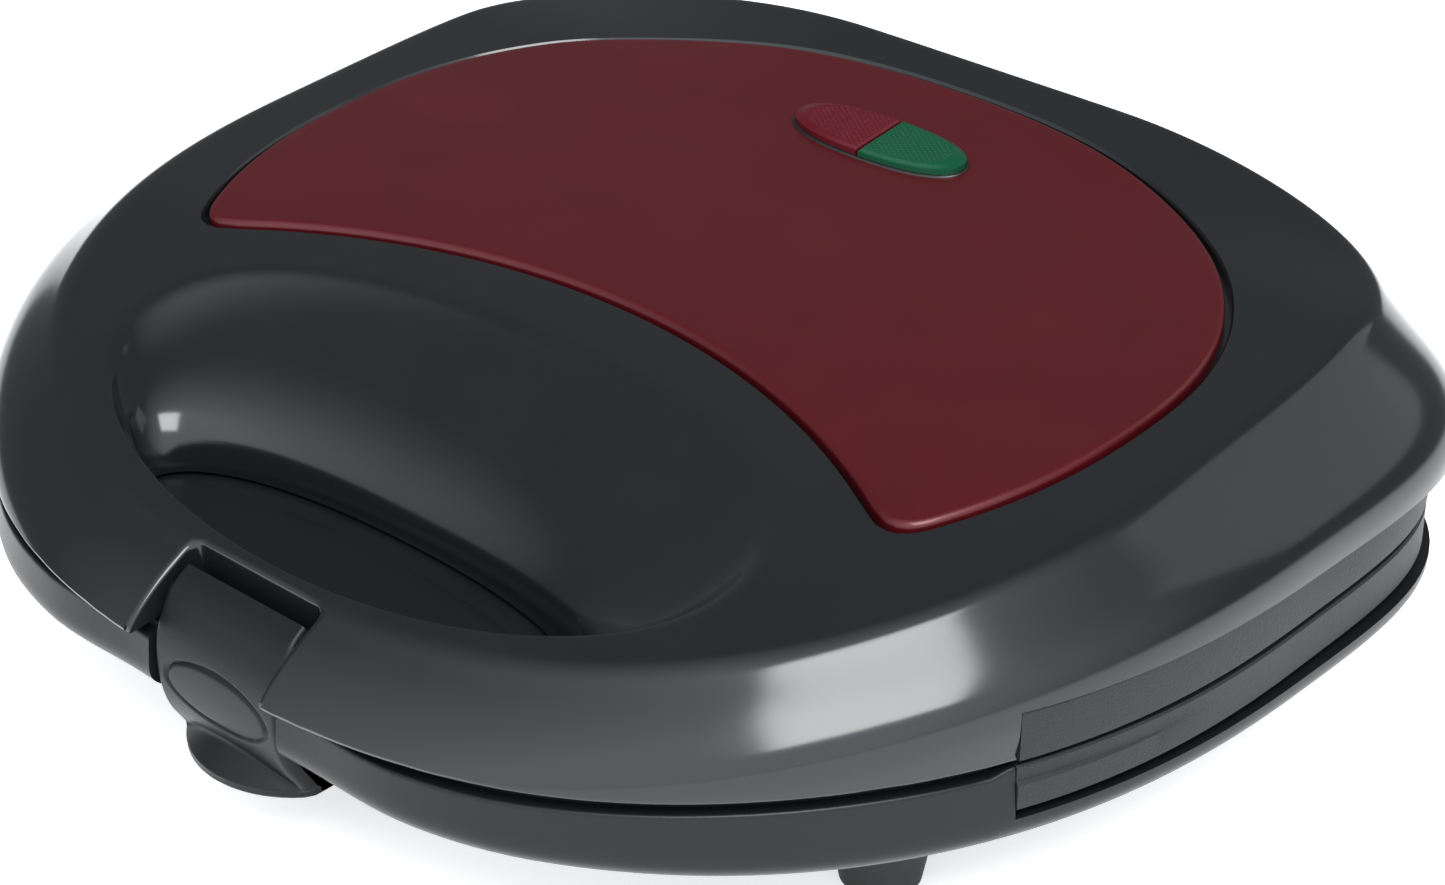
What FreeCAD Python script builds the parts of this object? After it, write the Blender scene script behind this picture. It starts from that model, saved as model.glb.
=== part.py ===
"""A hinged donut maker: two halves with seven ring moulds each, a grip scoop and a front latch.

Sizes are in millimetres. Pieces are drawn in the case frame: X to the right, Y to the back,
Z up from the plane where the two halves meet. Each piece's Placement then sets it on the floor.
"""
import FreeCAD, Part
import math
import os
import Sketcher
from FreeCAD import Vector

doc = FreeCAD.newDocument("donut_maker")

# Driving dimensions: name, value, meaning
SIZES = [
    ("case_half_width", 118, "case outline, half its width where the halves meet"),
    ("front_reach", 121.5, "case outline, from its widest line to the front"),
    ("rear_reach", 73.5, "case outline, from its widest line to the back"),
    ("widest_y", 31, "place of the widest line"),
    ("part_height", 37, "height of the plane where the halves meet, above the floor"),
    ("wall", 2.4, "wall of both housings"),
    ("seam_gap", 0.8, "gap between the two housings"),
    ("front_seam", 1.2, "extra gap along the front of the seam"),
    ("seam_lip", 2.5, "depth of the wider front seam"),
    ("parting_dip", 2.6, "how far the seam drops at the front"),
    ("skirt_drop", 6, "skirt of the lid below the seam before it is trimmed"),
    ("dip_start", 49, "from the front back to where the seam starts to drop"),
    ("top_front", 6.6, "top face above the seam plane, first station"),
    ("top_grip", 22.74, "top face, second station"),
    ("top_middle", 28.36, "top face, third station"),
    ("top_rear", 36.78, "top face, last station"),
    ("station_inset", 10.5, "first station of the top face behind the front"),
    ("crease_front", 9, "widest line of the top face before that of the case"),
    ("bulge", 1.6, "flank beyond the case outline at its widest"),
    ("bulge_nose", 0.4, "flank beyond the case outline at the front"),
    ("bulge_height", 12, "height of the widest line of the flank at the sides"),
    ("bulge_front", -3, "height of the widest line of the flank at the front"),
    ("flank_side", 14.2, "flank width at the sides, seen from above"),
    ("flank_front", 15, "flank width at the front"),
    ("flank_rear", 1.5, "flank width at the back"),
    ("flank_crown", 1.2, "how far the flank swells out between its edges"),
    ("band_front", 63.5, "from the front back to where the side bands start"),
    ("band_upper", 8.8, "height of the upper side band"),
    ("band_lower", 7.4, "height of the lower side band"),
    ("slot_height", 1.5, "slot under the lower band"),
    ("slot_depth", 3, "slot depth behind the band"),
    ("rim_out", 1.2, "rim of the lower housing beyond the bands"),
    ("rim_depth", 11.5, "depth of the lower housing's upright wall"),
    ("rim_height", 3, "upright part of the rim"),
    ("hull_depth", 29, "depth of the lower housing"),
    ("hull_inset", 36, "how far the bottom stands inside the outline"),
    ("grip_bar", 17.5, "grip bar, front to back"),
    ("scoop_half_width", 64, "scoop rim, half width"),
    ("scoop_length", 62.5, "scoop rim, front to back"),
    ("scoop_floor_half_width", 47, "scoop bottom, half width"),
    ("scoop_floor_length", 31.5, "scoop bottom, front to back"),
    ("scoop_throat", 8, "height of the steep lower wall of the scoop"),
    ("throat_flare", 3, "throat beyond the scoop bottom at each side"),
    ("throat_back", 2, "throat beyond the scoop bottom at the back"),
    ("scoop_flare", 9, "scoop beyond its rim, to the sides and up"),
    ("scoop_flare_front", 2, "scoop beyond its rim, to the front"),
    ("scoop_flare_back", 12, "scoop beyond its rim, to the back"),
    ("deck_gap", 1.9, "gap round the raised deck under the scoop"),
    ("deck_back", 8.4, "raised deck before the back of the scoop bottom"),
    ("deck_rise", 0.6, "raised deck above the seam plane"),
    ("panel_middle", 6, "widest line of the top panel before that of the case"),
    ("panel_reach", 78.5, "top panel, from its widest line to the front of its oval"),
    ("panel_margin_side", 13, "top panel inside the top face edge, at the sides"),
    ("panel_margin_rear", 10.5, "top panel inside the top face edge, at the back"),
    ("panel_front_gap", 13.8, "top panel behind the scoop, on the middle line"),
    ("panel_front_radius", 140.5, "hollow front edge of the top panel"),
    ("panel_tip_radius", 4.5, "rounding of the two front tips"),
    ("panel_depth", 2.2, "recess for the top panel"),
    ("panel_proud", 0.7, "top panel above the top face"),
    ("panel_gap", 1.0, "shadow gap round the top panel"),
    ("panel_edge", 1.1, "rounding of the top panel's edge"),
    ("lens_y", 70.5, "place of the lamp lens"),
    ("lens_half_length", 18.7, "lamp lens, half length"),
    ("lens_half_width", 6.3, "lamp lens, half width"),
    ("lens_proud", 1.8, "lamp lens above the top panel"),
    ("lens_edge", 1.0, "rounding of the lens edge"),
    ("lens_gap", 0.4, "gap round the lens and between its halves"),
    ("lens_well", 12, "hole for the lens below the top face"),
    ("holder_wall", 1.5, "wall of the lamp holder"),
    ("holder_gap", 2.3, "lamp holder off the reflector"),
    ("holder_room", 3, "lamp holder outside the lens"),
    ("divider", 1.2, "wall between the two lamps"),
    ("lamp_x", 4, "lamps from the middle"),
    ("lamp_gap", 0.2, "lamp below the lens"),
    ("lamp_radius", 2.2, "indicator lamp"),
    ("lamp_length", 11, "indicator lamp"),
    ("plate_margin_side", 18, "plate inside the case outline at the sides"),
    ("plate_margin_rear", 8, "plate inside the case outline at the back"),
    ("plate_margin_front", 8, "plate behind the scoop bottom"),
    ("plate_gap", 0.5, "gap between the closed plates"),
    ("plate_thickness", 3, "plate flange"),
    ("plate_clearance", 1.0, "gap between plate and housing"),
    ("plate_room", 3, "room in the base behind the plate flange"),
    ("ring_radius", 13.5, "ring mould, middle of the ring"),
    ("ring_tube", 8.5, "ring mould, depth"),
    ("ring_wall", 2.2, "wall of the ring mould"),
    ("mould_y", 33, "place of the middle row of moulds"),
    ("mould_pitch_x", 60, "moulds in a row"),
    ("mould_pitch_y", 39, "rows of moulds"),
    ("post_radius", 4, "plate post"),
    ("post_x", 75, "plate posts from the middle"),
    ("post_pitch_y", 57, "plate posts, front to back"),
    ("post_length", 12, "plate post"),
    ("boss_wall", 1, "wall of a screw boss round its post"),
    ("screw_radius", 1.5, "plate screw"),
    ("screw_head_radius", 3, "plate screw head"),
    ("screw_head_height", 2, "plate screw head"),
    ("screw_seat", 4, "wall under a screw head"),
    ("screw_bite", 8, "screw inside its post"),
    ("screw_tip_gap", 0.5, "screw tip short of the end of its hole"),
    ("fit_gap", 0.2, "loose fit round screws, posts and bushes"),
    ("element_radius", 3.25, "heating element"),
    ("element_gap", 0.1, "heating element off the moulds"),
    ("element_half_width", 52, "heating element loop"),
    ("element_front", 35, "heating element loop before the middle row"),
    ("element_rear", 47, "heating element loop behind the middle row"),
    ("element_corner", 16, "heating element bends"),
    ("element_end_x", 12, "heating element ends from the middle"),
    ("element_end", 9, "heating element ends behind the loop"),
    ("reflector_gap", 0.4, "reflector off the element"),
    ("reflector_thickness", 0.8, "reflector sheet"),
    ("reflector_half_width", 84, "reflector"),
    ("reflector_front", 40, "reflector before the middle row"),
    ("reflector_rear", 47, "reflector behind the middle row"),
    ("hinge_out", 6.5, "hinge line behind the case outline"),
    ("knuckle_radius", 5.5, "hinge knuckle"),
    ("knuckle_inner_x", 52, "inner end of a hinge"),
    ("knuckle_width", 8, "lower hinge knuckle"),
    ("knuckle_mid_width", 11, "upper hinge knuckle"),
    ("knuckle_gap", 0.5, "side gap between knuckles"),
    ("knuckle_root", 3.5, "hinge arm inside the case wall"),
    ("pin_radius", 2, "hinge pin"),
    ("pin_gap", 0.05, "running fit of a pin"),
    ("pin_head_radius", 3.2, "hinge pin head"),
    ("pin_head", 1.2, "hinge pin head"),
    ("latch_half_width", 14.4, "latch"),
    ("latch_side_gap", 0.6, "gap beside the latch"),
    ("latch_wall", 2.6, "latch wall"),
    ("latch_pivot_back", 10.8, "latch pivot behind the front of the case"),
    ("latch_pivot_z", 1.2, "latch pivot height"),
    ("latch_pin_radius", 1.25, "latch pin"),
    ("latch_barrel", 2.6, "barrel round the latch pin"),
    ("latch_pin_end", 3.5, "latch pin inside the housing at each side"),
    ("latch_drop", 24, "underside of the latch lip below the seam plane"),
    ("lip_radius", 18.3, "latch lip, seen from above"),
    ("lip_back", 21.6, "centre of the lip's arc behind the front of the case"),
    ("lip_thickness", 1.6, "edge of the latch lip"),
    ("lip_rise", 4.7, "height of the lip's sloped upper side"),
    ("lip_slope", 4.4, "how far the lip's upper side draws in"),
    ("notch_back", 15.3, "latch notch behind the front of the case"),
    ("catch_z", 10.6, "catch ledge below the seam plane"),
    ("catch_depth", 2, "catch ledge, front to back"),
    ("catch_height", 8, "pocket under the catch ledge"),
    ("catch_front", 1, "base behind the latch before the notch of the lid"),
    ("catch_gap", 0.5, "latch hook under the catch"),
    ("foot_x", 80, "feet from the middle"),
    ("foot_front_y", 22, "front feet before the origin line"),
    ("foot_rear_y", 66, "rear feet behind the origin line"),
    ("foot_radius", 8, "foot at its top"),
    ("foot_base_radius", 6.5, "foot at the floor"),
    ("foot_stem_radius", 3, "stem that holds a foot"),
    ("foot_stem", 3.5, "length of the stem"),
    ("foot_socket", 4, "depth of the hole for the stem"),
    ("pad_edge", 0.6, "pads of the base beyond a foot or a flange"),
    ("pad_height", 8, "pads of the base"),
    ("foot_height", 8, "foot below the bottom"),
    ("gland_z", 16, "mains inlet below the seam plane"),
    ("gland_radius", 6, "mains inlet bush"),
    ("gland_flange", 8, "mains inlet flange"),
    ("gland_bore", 3.6, "mains inlet bore"),
    ("gland_out", 3, "mains inlet outside the wall"),
    ("gland_in", 8, "mains inlet inside the wall"),
    ("gland_pad", 3, "wall of the base behind the inlet"),
    ("stat_x", 62, "thermostat from the middle"),
    ("stat_y", 8, "thermostat before the origin line"),
    ("stat_radius", 6.5, "thermostat"),
    ("stat_cap_radius", 4.55, "raised middle of a thermostat"),
    ("stat_height", 6, "thermostat"),
    ("stat_tab", 3, "thermostat tab"),
    ("fuse_radius", 2, "thermal fuse"),
    ("fuse_length", 14, "thermal fuse"),
    ("block_length", 22, "terminal block"),
    ("block_width", 10, "terminal block"),
    ("block_height", 5.5, "terminal block"),
    ("block_x", 64, "terminal block from the middle"),
    ("block_y", 82.5, "terminal block behind the origin line"),
    ("block_drop", 1, "terminal block above the rim's lower edge"),
    ("rest_half_length", 7, "rest under the terminal block"),
    ("rest_half_width", 3.5, "rest under the terminal block"),
    ("block_bore", 1.6, "terminal block wire hole"),
]

STATIONS = 32
FRONT_ROUND = 2.3
REAR_ROUND = 3.7
FLANK_REAR_ROUND = 4.3
SCOOP_ROUND = 2.1
LENS_ROUND = 2.2
TOP_ROUND = 2.5
TOP_REAR_ROUND = 4.2
PANEL_ROUND = 2.3
PLATE_ROUND = 3.0
FLANK_EASE = 1.5
LAMP_END = 0.6
BLOCK_WAYS = 3
TOP_RUN_ON = 15
SEAM_RUN_ON = 20
FAR = 400
TALL = 20
TINY = 0.001
UP = Vector(0, 0, 1)
RIGHT = Vector(1, 0, 0)
BACK = Vector(0, 1, 0)

# The dish of the base: share of its depth, share of its inset
DISH = [
    (0.26, 0.12),
    (0.52, 0.34),
    (0.78, 0.62),
]

# Outer face of the latch: behind the front of the case, above the seam plane
LATCH_FACE = [
    (12.3, 5.9),
    (10.3, 4.5),
    (8.0, 1.3),
    (6.5, -3.0),
    (6.0, -8.0),
    (6.2, -12.0),
    (6.9, -15.5),
    (7.9, -18.0),
    (10.3, -22.4),
]

sheet = doc.addObject("Spreadsheet::Sheet", "Sizes")
for row, (name, value, meaning) in enumerate(SIZES, start=1):
    sheet.set(f"A{row}", meaning)
    sheet.set(f"B{row}", str(value))
    sheet.setAlias(f"B{row}", name)
doc.recompute()


class Size:
    """Reads a driving dimension from the sheet by its name."""

    def __getattr__(self, name):
        return float(sheet.get(name))


size = Size()

# Lines of the case that other pieces are placed by
front_y = size.widest_y - size.front_reach
rear_y = size.widest_y + size.rear_reach
hinge_y = rear_y + size.hinge_out
scoop_front_y = front_y + size.grip_bar
scoop_rear_y = scoop_front_y + size.scoop_length
scoop_floor_rear_y = scoop_front_y + size.scoop_floor_length
plate_front_y = scoop_floor_rear_y + size.plate_margin_front
panel_front_y = scoop_rear_y + size.panel_front_gap
crease_y = size.widest_y - size.crease_front

SHIFT_Y = (
    "-(Sizes.widest_y * 2 - Sizes.front_reach - Sizes.bulge_nose + Sizes.rear_reach"
    " + Sizes.hinge_out + Sizes.knuckle_radius) / 2"
)
SHIFT_Z = "Sizes.part_height"

nodes = []


def node(item, label):
    """Names a finished piece and stands it on the floor, centred front to back."""
    item.Label = label
    item.setExpression("Placement.Base.y", SHIFT_Y)
    item.setExpression("Placement.Base.z", SHIFT_Z)
    nodes.append(item)
    return item


def shape_node(shape, label):
    """A piece whose form is worked out below from the sheet."""
    item = doc.addObject("Part::Feature", label)
    item.Shape = shape
    return node(item, label)


# Curves and outlines


def top_height(y):
    """Top face above the seam plane: one cubic through four stations."""
    first = front_y + size.station_inset
    last = rear_y - size.flank_rear
    step = (last - first) / 3
    heights = (size.top_front, size.top_grip, size.top_middle, size.top_rear)
    total = 0.0
    for i, height in enumerate(heights):
        share = 1.0
        for j in range(4):
            if j != i:
                share *= (y - first - j * step) / ((i - j) * step)
        total += height * share
    return total


def oval(centre_y, half_width, front, rear, front_round, rear_round):
    """Points of a closed outline whose front and back halves have their own roundness."""
    points = []
    for i in range(STATIONS):
        angle = 2 * math.pi * i / STATIONS + math.pi / 2
        side = math.cos(angle)
        along = math.sin(angle)
        reach = rear - centre_y if along > 0 else centre_y - front
        power = rear_round if along > 0 else front_round
        radius = (abs(side / half_width) ** power + abs(along / reach) ** power) ** (-1 / power)
        points.append((radius * side, centre_y + radius * along))
    return points


def case_outline(grow=0.0):
    """The case seen from above, grown or shrunk all round."""
    return oval(
        size.widest_y, size.case_half_width + grow, front_y - grow, rear_y + grow, FRONT_ROUND, REAR_ROUND
    )


def crease_outline(inset=0.0):
    """The edge of the top face seen from above."""
    half_width = size.case_half_width - size.flank_side - inset
    front = front_y + size.flank_front + inset
    rear = rear_y - size.flank_rear - inset
    return oval(crease_y, half_width, front, rear, TOP_ROUND, TOP_REAR_ROUND)


def closed_wire(points):
    curve = Part.BSplineCurve()
    curve.interpolate(points, True)
    return Part.Wire(curve.toShape())


def flat_wire(points, z):
    return closed_wire([Vector(x, y, z) for x, y in points])


def prism(points, low, high):
    """An upright block with the given outline."""
    return Part.Face(flat_wire(points, low)).extrude(Vector(0, 0, high - low))


def box(x0, x1, y0, y1, z0, z1):
    return Part.makeBox(x1 - x0, y1 - y0, z1 - z0, Vector(x0, y0, z0))


def rod(radius, length, start, along):
    return Part.makeCylinder(radius, length, start, along)


def cubic_edge(height, y0, y1, rise):
    """A cubic height curve over y, as one exact curve in the middle plane."""
    step = (y1 - y0) / 3
    nudge = 0.01
    slope0 = (height(y0 + nudge) - height(y0 - nudge)) / (2 * nudge)
    slope1 = (height(y1 + nudge) - height(y1 - nudge)) / (2 * nudge)
    heights = (height(y0), height(y0) + slope0 * step, height(y1) - slope1 * step, height(y1))
    curve = Part.BezierCurve()
    curve.setPoles([Vector(0, y0 + i * step, z + rise) for i, z in enumerate(heights)])
    return curve.toShape()


def across(edges):
    """A block with the given middle-plane outline, running across the whole width."""
    face = Part.Face(Part.Wire(edges))
    face.translate(Vector(-FAR / 2, 0, 0))
    return face.extrude(Vector(FAR, 0, 0))


def under_top(rise=0.0):
    """Everything below the top face, raised or lowered."""
    start, end = front_y - TOP_RUN_ON, rear_y + TOP_RUN_ON
    edge = cubic_edge(top_height, start, end, rise)
    first, last = edge.firstVertex().Point, edge.lastVertex().Point
    low_end, low_start = Vector(0, end, -FAR / 2), Vector(0, start, -FAR / 2)
    sides = [Part.makeLine(last, low_end), Part.makeLine(low_end, low_start), Part.makeLine(low_start, first)]
    return across([edge] + sides)


def under_seam(rise=0.0):
    """Everything below the seam, which drops towards the front."""
    bend = front_y + size.dip_start
    end = front_y - SEAM_RUN_ON
    run = (bend - end) / size.dip_start
    curve = Part.BezierCurve()
    drop = -size.parting_dip * run * run
    curve.setPoles([Vector(0, bend, rise), Vector(0, (bend + end) / 2, rise), Vector(0, end, drop + rise)])
    far_top = Vector(0, FAR / 2, rise)
    far_low, front_low = Vector(0, FAR / 2, -FAR / 2), Vector(0, end, -FAR / 2)
    edges = [
        Part.makeLine(far_top, Vector(0, bend, rise)),
        curve.toShape(),
        Part.makeLine(Vector(0, end, drop + rise), front_low),
        Part.makeLine(front_low, far_low),
        Part.makeLine(far_low, far_top),
    ]
    return across(edges)


def closed_solid(faces):
    shell = Part.Shell(faces)
    shell.sewShape()
    solid = Part.Solid(shell)
    if solid.Volume < 0:
        solid.reverse()
    return solid


# Forms of the two halves


def flank_height(top):
    """Height of the widest line of the flank, lower where the top face is low."""
    side_top = top_height(crease_y)
    front_top = top_height(front_y + size.flank_front)
    share = min(1.0, max(0.0, (side_top - top) / (side_top - front_top)))
    return size.bulge_height - (size.bulge_height - size.bulge_front) * share ** FLANK_EASE


def upper_form(inset=0.0):
    """The upper half before it is hollowed: skirt, swelling flank and sloped top."""
    skirt = case_outline(-inset)
    nose = front_y - size.bulge_nose + inset
    wide = oval(
        size.widest_y,
        size.case_half_width + size.bulge - inset,
        nose,
        rear_y + size.bulge - inset,
        FRONT_ROUND,
        FLANK_REAR_ROUND,
    )
    crease = crease_outline(inset)
    low_z = -size.parting_dip - size.skirt_drop
    rings = [[], [], [], [], [], []]
    for (sx, sy), (wx, wy), (cx, cy) in zip(skirt, wide, crease):
        top = top_height(cy) - inset
        low = Vector(sx, sy, low_z)
        out = Vector(wx, wy, flank_height(top + inset) - inset / 2)
        edge = Vector(cx, cy, top)
        run = edge - out
        level = Vector(-run.x, -run.y, 0)
        swell = Vector(level.x, level.y, level.Length ** 2 / max(run.z, 1.0)).normalize()
        rise = size.flank_crown * min(1.0, run.z / size.bulge_height)
        rings[0].append(low)
        rings[1].append((low + out) * 0.5)
        rings[2].append(out)
        rings[3].append((out + edge) * 0.5 + swell * rise)
        rings[4].append(edge)
        rings[5].append(edge + run * 0.6)
    wires = [closed_wire(ring) for ring in rings]
    cap = flat_wire(crease_outline(size.case_half_width * 0.5), size.top_rear * 2)
    skin = Part.makeLoft(wires, False, False)
    cone = Part.makeLoft([wires[-1], cap], False, True)
    form = closed_solid(skin.Faces + cone.Faces + [Part.Face(wires[0]), Part.Face(cap)])
    return form.common(under_top(-inset))


def lower_form(inset=0.0):
    """The lower half before it is hollowed: upright rim and a shallow dish."""
    dish = size.hull_depth - size.rim_depth
    steps = [
        (TALL / 2, 0.0),
        (-size.rim_depth + size.rim_height, size.rim_out),
        (-size.rim_depth, size.rim_out),
    ]
    steps += [(-size.rim_depth - deep * dish, -inner * size.hull_inset) for deep, inner in DISH]
    steps.append((-size.hull_depth, -size.hull_inset))
    wires = []
    for z, grow in steps:
        lift = 0.0 if z > -size.rim_depth else inset
        wires.append(flat_wire(case_outline(grow - inset), z + lift))
    return Part.makeLoft(wires, True, False)


def scoop(grow=0.0):
    """The hollow behind the grip bar: a steep throat that opens into a sloped bowl."""
    rim_low, rim_high = top_height(scoop_front_y), top_height(scoop_rear_y)
    tilt = math.atan2(rim_high - rim_low, size.scoop_length)
    rim_level = (rim_low + rim_high) / 2
    floor_half, rim_half = size.scoop_floor_half_width, size.scoop_half_width
    throat_half, throat_rear = floor_half + size.throat_flare, scoop_floor_rear_y + size.throat_back
    flare_half, flare_level = rim_half + size.scoop_flare, rim_level + size.scoop_flare
    flare_front, flare_rear = scoop_front_y - size.scoop_flare_front, scoop_rear_y + size.scoop_flare_back
    rings = [
        (floor_half, scoop_front_y, scoop_floor_rear_y, -TALL, 0.0),
        (throat_half, scoop_front_y, throat_rear, size.scoop_throat, tilt / 2),
        (rim_half, scoop_front_y, scoop_rear_y, rim_level, tilt),
        (flare_half, flare_front, flare_rear, flare_level, tilt),
    ]
    wires = []
    for half_width, front, rear, lift, slope in rings:
        middle = (front + rear) / 2
        points = oval(
            0.0, half_width + grow, front - middle - grow, rear - middle + grow, SCOOP_ROUND, SCOOP_ROUND
        )
        wires.append(
            closed_wire([Vector(x, middle + y, lift + y * math.tan(slope)) for x, y in points])
        )
    return Part.makeLoft(wires, True, False)


def notch(half_width, back, low, high):
    return box(-half_width, half_width, front_y - FAR / 8, back, low, high)


def plate_outline(grow=0.0):
    half_width = size.case_half_width - size.plate_margin_side + grow
    rear = rear_y - size.plate_margin_rear + grow
    middle = (plate_front_y + rear) / 2
    return oval(middle, half_width, plate_front_y - grow, rear, PLATE_ROUND, PLATE_ROUND)


def panel_face(grow=0.0):
    """The top panel seen from above: an oval with a hollow front and two rounded tips."""
    half_width = size.case_half_width - size.flank_side - size.panel_margin_side + grow
    rear = rear_y - size.flank_rear - size.panel_margin_rear + grow
    middle_y = size.widest_y - size.panel_middle
    front = middle_y - size.panel_reach
    outline = oval(middle_y, half_width, front, rear, PANEL_ROUND, PANEL_ROUND)
    body = prism(outline, -FAR / 4, FAR / 4)
    middle = Vector(0, panel_front_y - size.panel_front_radius, -FAR / 4)
    block = body.cut(rod(size.panel_front_radius - grow, FAR / 2, middle, UP))
    tips = [e for e in block.Edges if is_upright(e) and e.CenterOfMass.y < panel_front_y]
    return block.makeFillet(size.panel_tip_radius + grow, tips)


def is_upright(edge):
    run = edge.lastVertex().Point - edge.firstVertex().Point
    return math.hypot(run.x, run.y) < TINY and abs(run.z) > TINY


def lens_outline(grow=0.0):
    length, width = size.lens_half_length + grow, size.lens_half_width + grow
    return oval(size.lens_y, length, size.lens_y - width, size.lens_y + width, LENS_ROUND, LENS_ROUND)


def post_places():
    """The four plate screws, seen from above."""
    for x in (-size.post_x, size.post_x):
        for y in (size.mould_y - size.post_pitch_y / 2, size.mould_y + size.post_pitch_y / 2):
            yield x, y


def mould_places():
    """Seven moulds in rows of two, three and two."""
    for row, columns in ((-1, (-0.5, 0.5)), (0, (-1, 0, 1)), (1, (-0.5, 0.5))):
        for column in columns:
            yield column * size.mould_pitch_x, size.mould_y + row * size.mould_pitch_y


# The lid


def knuckle(x0, x1, side):
    """A hinge knuckle on the upper (side 1) or lower (side -1) housing."""
    centre = Vector(x0, hinge_y, 0)
    drum = rod(size.knuckle_radius, x1 - x0, centre, RIGHT)
    low, high = sorted((side * size.seam_gap, side * size.knuckle_radius))
    arm = box(x0, x1, rear_y - size.wall - size.knuckle_root, hinge_y, low, high)
    hole = rod(size.pin_radius + size.pin_gap, x1 - x0, centre, RIGHT)
    return drum.fuse(arm).cut(hole)


def knuckle_spans():
    """Inner, middle and outer knuckle of the right hinge, along X."""
    inner0 = size.knuckle_inner_x
    inner1 = inner0 + size.knuckle_width
    middle0 = inner1 + size.knuckle_gap
    middle1 = middle0 + size.knuckle_mid_width
    outer0 = middle1 + size.knuckle_gap
    return (inner0, inner1), (middle0, middle1), (outer0, outer0 + size.knuckle_width)


def both_sides(span):
    return (span, (-span[1], -span[0]))


def band_zone(low, high):
    return box(-FAR / 2, FAR / 2, front_y + size.band_front, FAR / 2, low, high)


def upper_hollow():
    """The space inside the lid: clear of the scoop, the grip bar, the panel recess and the bosses."""
    flange = box(-FAR / 2, FAR / 2, -FAR / 2, FAR / 2, -FAR / 4, size.plate_thickness)
    half = size.scoop_half_width
    bar = box(-half, half, -FAR / 2, scoop_front_y + size.grip_bar, -FAR / 4, FAR / 4)
    recess = panel_face(size.panel_gap + size.wall).cut(under_top(-size.panel_depth - size.wall))
    boss_radius = size.post_radius + size.boss_wall
    bosses = [rod(boss_radius, FAR / 4, Vector(x, y, boss_level()), UP) for x, y in post_places()]
    return upper_form(size.wall).cut([flange, scoop(size.wall), bar, recess] + bosses)


def boss_level():
    """Where a screw boss meets the post of its plate."""
    return size.plate_gap / 2 + size.plate_thickness + size.post_length


def screw_holes(side):
    """Clearance holes and head seats for the plate screws of one half."""
    holes = []
    along = UP * side
    for x, y in post_places():
        shank = Vector(x, y, side * (boss_level() - size.boss_wall))
        seat = Vector(x, y, side * (boss_level() + size.screw_seat))
        holes.append(rod(size.screw_radius + size.fit_gap, FAR / 4, shank, along))
        holes.append(rod(size.screw_head_radius + size.fit_gap, FAR / 4, seat, along))
    return holes


def make_upper_housing():
    band = prism(case_outline(), -1, size.band_upper).common(band_zone(-1, size.band_upper))
    solid = upper_form().cut(band_zone(-FAR / 4, size.band_upper)).fuse(band)
    half = size.latch_half_width + size.latch_side_gap
    pin_reach = half + size.latch_pin_end + size.fit_gap
    pin_line = Vector(-pin_reach, front_y + size.latch_pivot_back, size.latch_pivot_z)
    tools = [
        under_seam(),
        upper_hollow(),
        prism(plate_outline(size.plate_clearance), -TALL, size.plate_thickness + size.plate_clearance),
        scoop(),
        panel_face(size.panel_gap).cut(under_top(-size.panel_depth)),
        prism(lens_outline(size.lens_gap), top_height(size.lens_y) - size.lens_well, FAR / 4),
        notch(half, front_y + size.notch_back, -FAR / 4, FAR / 4),
        rod(size.latch_pin_radius + size.pin_gap, 2 * pin_reach, pin_line, RIGHT),
    ]
    for tool in tools:
        solid = solid.cut(tool)
    solid = solid.cut(screw_holes(1))
    solid = solid.fuse([knuckle(span[0], span[1], 1) for span in both_sides(knuckle_spans()[1])])
    return shape_node(solid, "upper_housing")


def rounded_top(shape, radius):
    """Rounds every edge of the upper face of a block."""
    top = max(shape.Faces, key=lambda face: face.CenterOfMass.z)
    return shape.makeFillet(radius, top.Edges)


def make_top_panel():
    slab = panel_face().common(under_top(size.panel_proud)).cut(under_top(-size.panel_depth))
    slab = slab.cut(prism(lens_outline(size.lens_gap), 0, FAR / 4))
    rim = [e for e in slab.Edges if is_top_rim(e)]
    return shape_node(slab.makeFillet(size.panel_edge, rim), "top_panel")


def is_top_rim(edge):
    """True for the outer edges on the panel's upper face."""
    middle = edge.valueAt((edge.FirstParameter + edge.LastParameter) / 2)
    on_top = abs(middle.z - top_height(middle.y) - size.panel_proud) < 0.05
    on_lens = math.hypot(middle.x, middle.y - size.lens_y) < size.lens_half_length + size.panel_gap
    return on_top and not on_lens


def make_lens(side, label):
    top = under_top(size.panel_proud + size.lens_proud)
    low = lamp_floor() + 2 * size.lamp_radius + size.lamp_gap
    block = prism(lens_outline(), low, FAR / 4).common(top)
    edge = size.lens_gap / 2
    half = box(min(side * edge, side * FAR), max(side * edge, side * FAR), -FAR, FAR, -FAR, FAR)
    return shape_node(rounded_top(block.common(half), size.lens_edge), label)


def reflector_back():
    """Far side of a reflector, measured from the seam plane."""
    return element_level() + size.element_radius + size.reflector_gap + size.reflector_thickness


def lamp_floor():
    """Where the lamps lie, inside their holder."""
    return reflector_back() + size.holder_gap + size.holder_wall


def make_lamp_holder():
    """An open tray under the lens, with a wall between the two lamps."""
    room = under_top(-size.panel_depth - size.wall)
    floor = lamp_floor() - size.holder_wall
    outer = prism(lens_outline(size.holder_room + size.holder_wall), floor, FAR / 4)
    inner = prism(lens_outline(size.holder_room), lamp_floor(), FAR / 4)
    reach = size.lens_half_width + size.holder_room + size.holder_wall / 2
    half = size.divider / 2
    front, rear = size.lens_y - reach, size.lens_y + reach
    divider = box(-half, half, front, rear, floor, lamp_floor() + size.lamp_radius)
    return shape_node(outer.common(room).cut(inner).fuse(divider), "lamp_holder")


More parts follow.
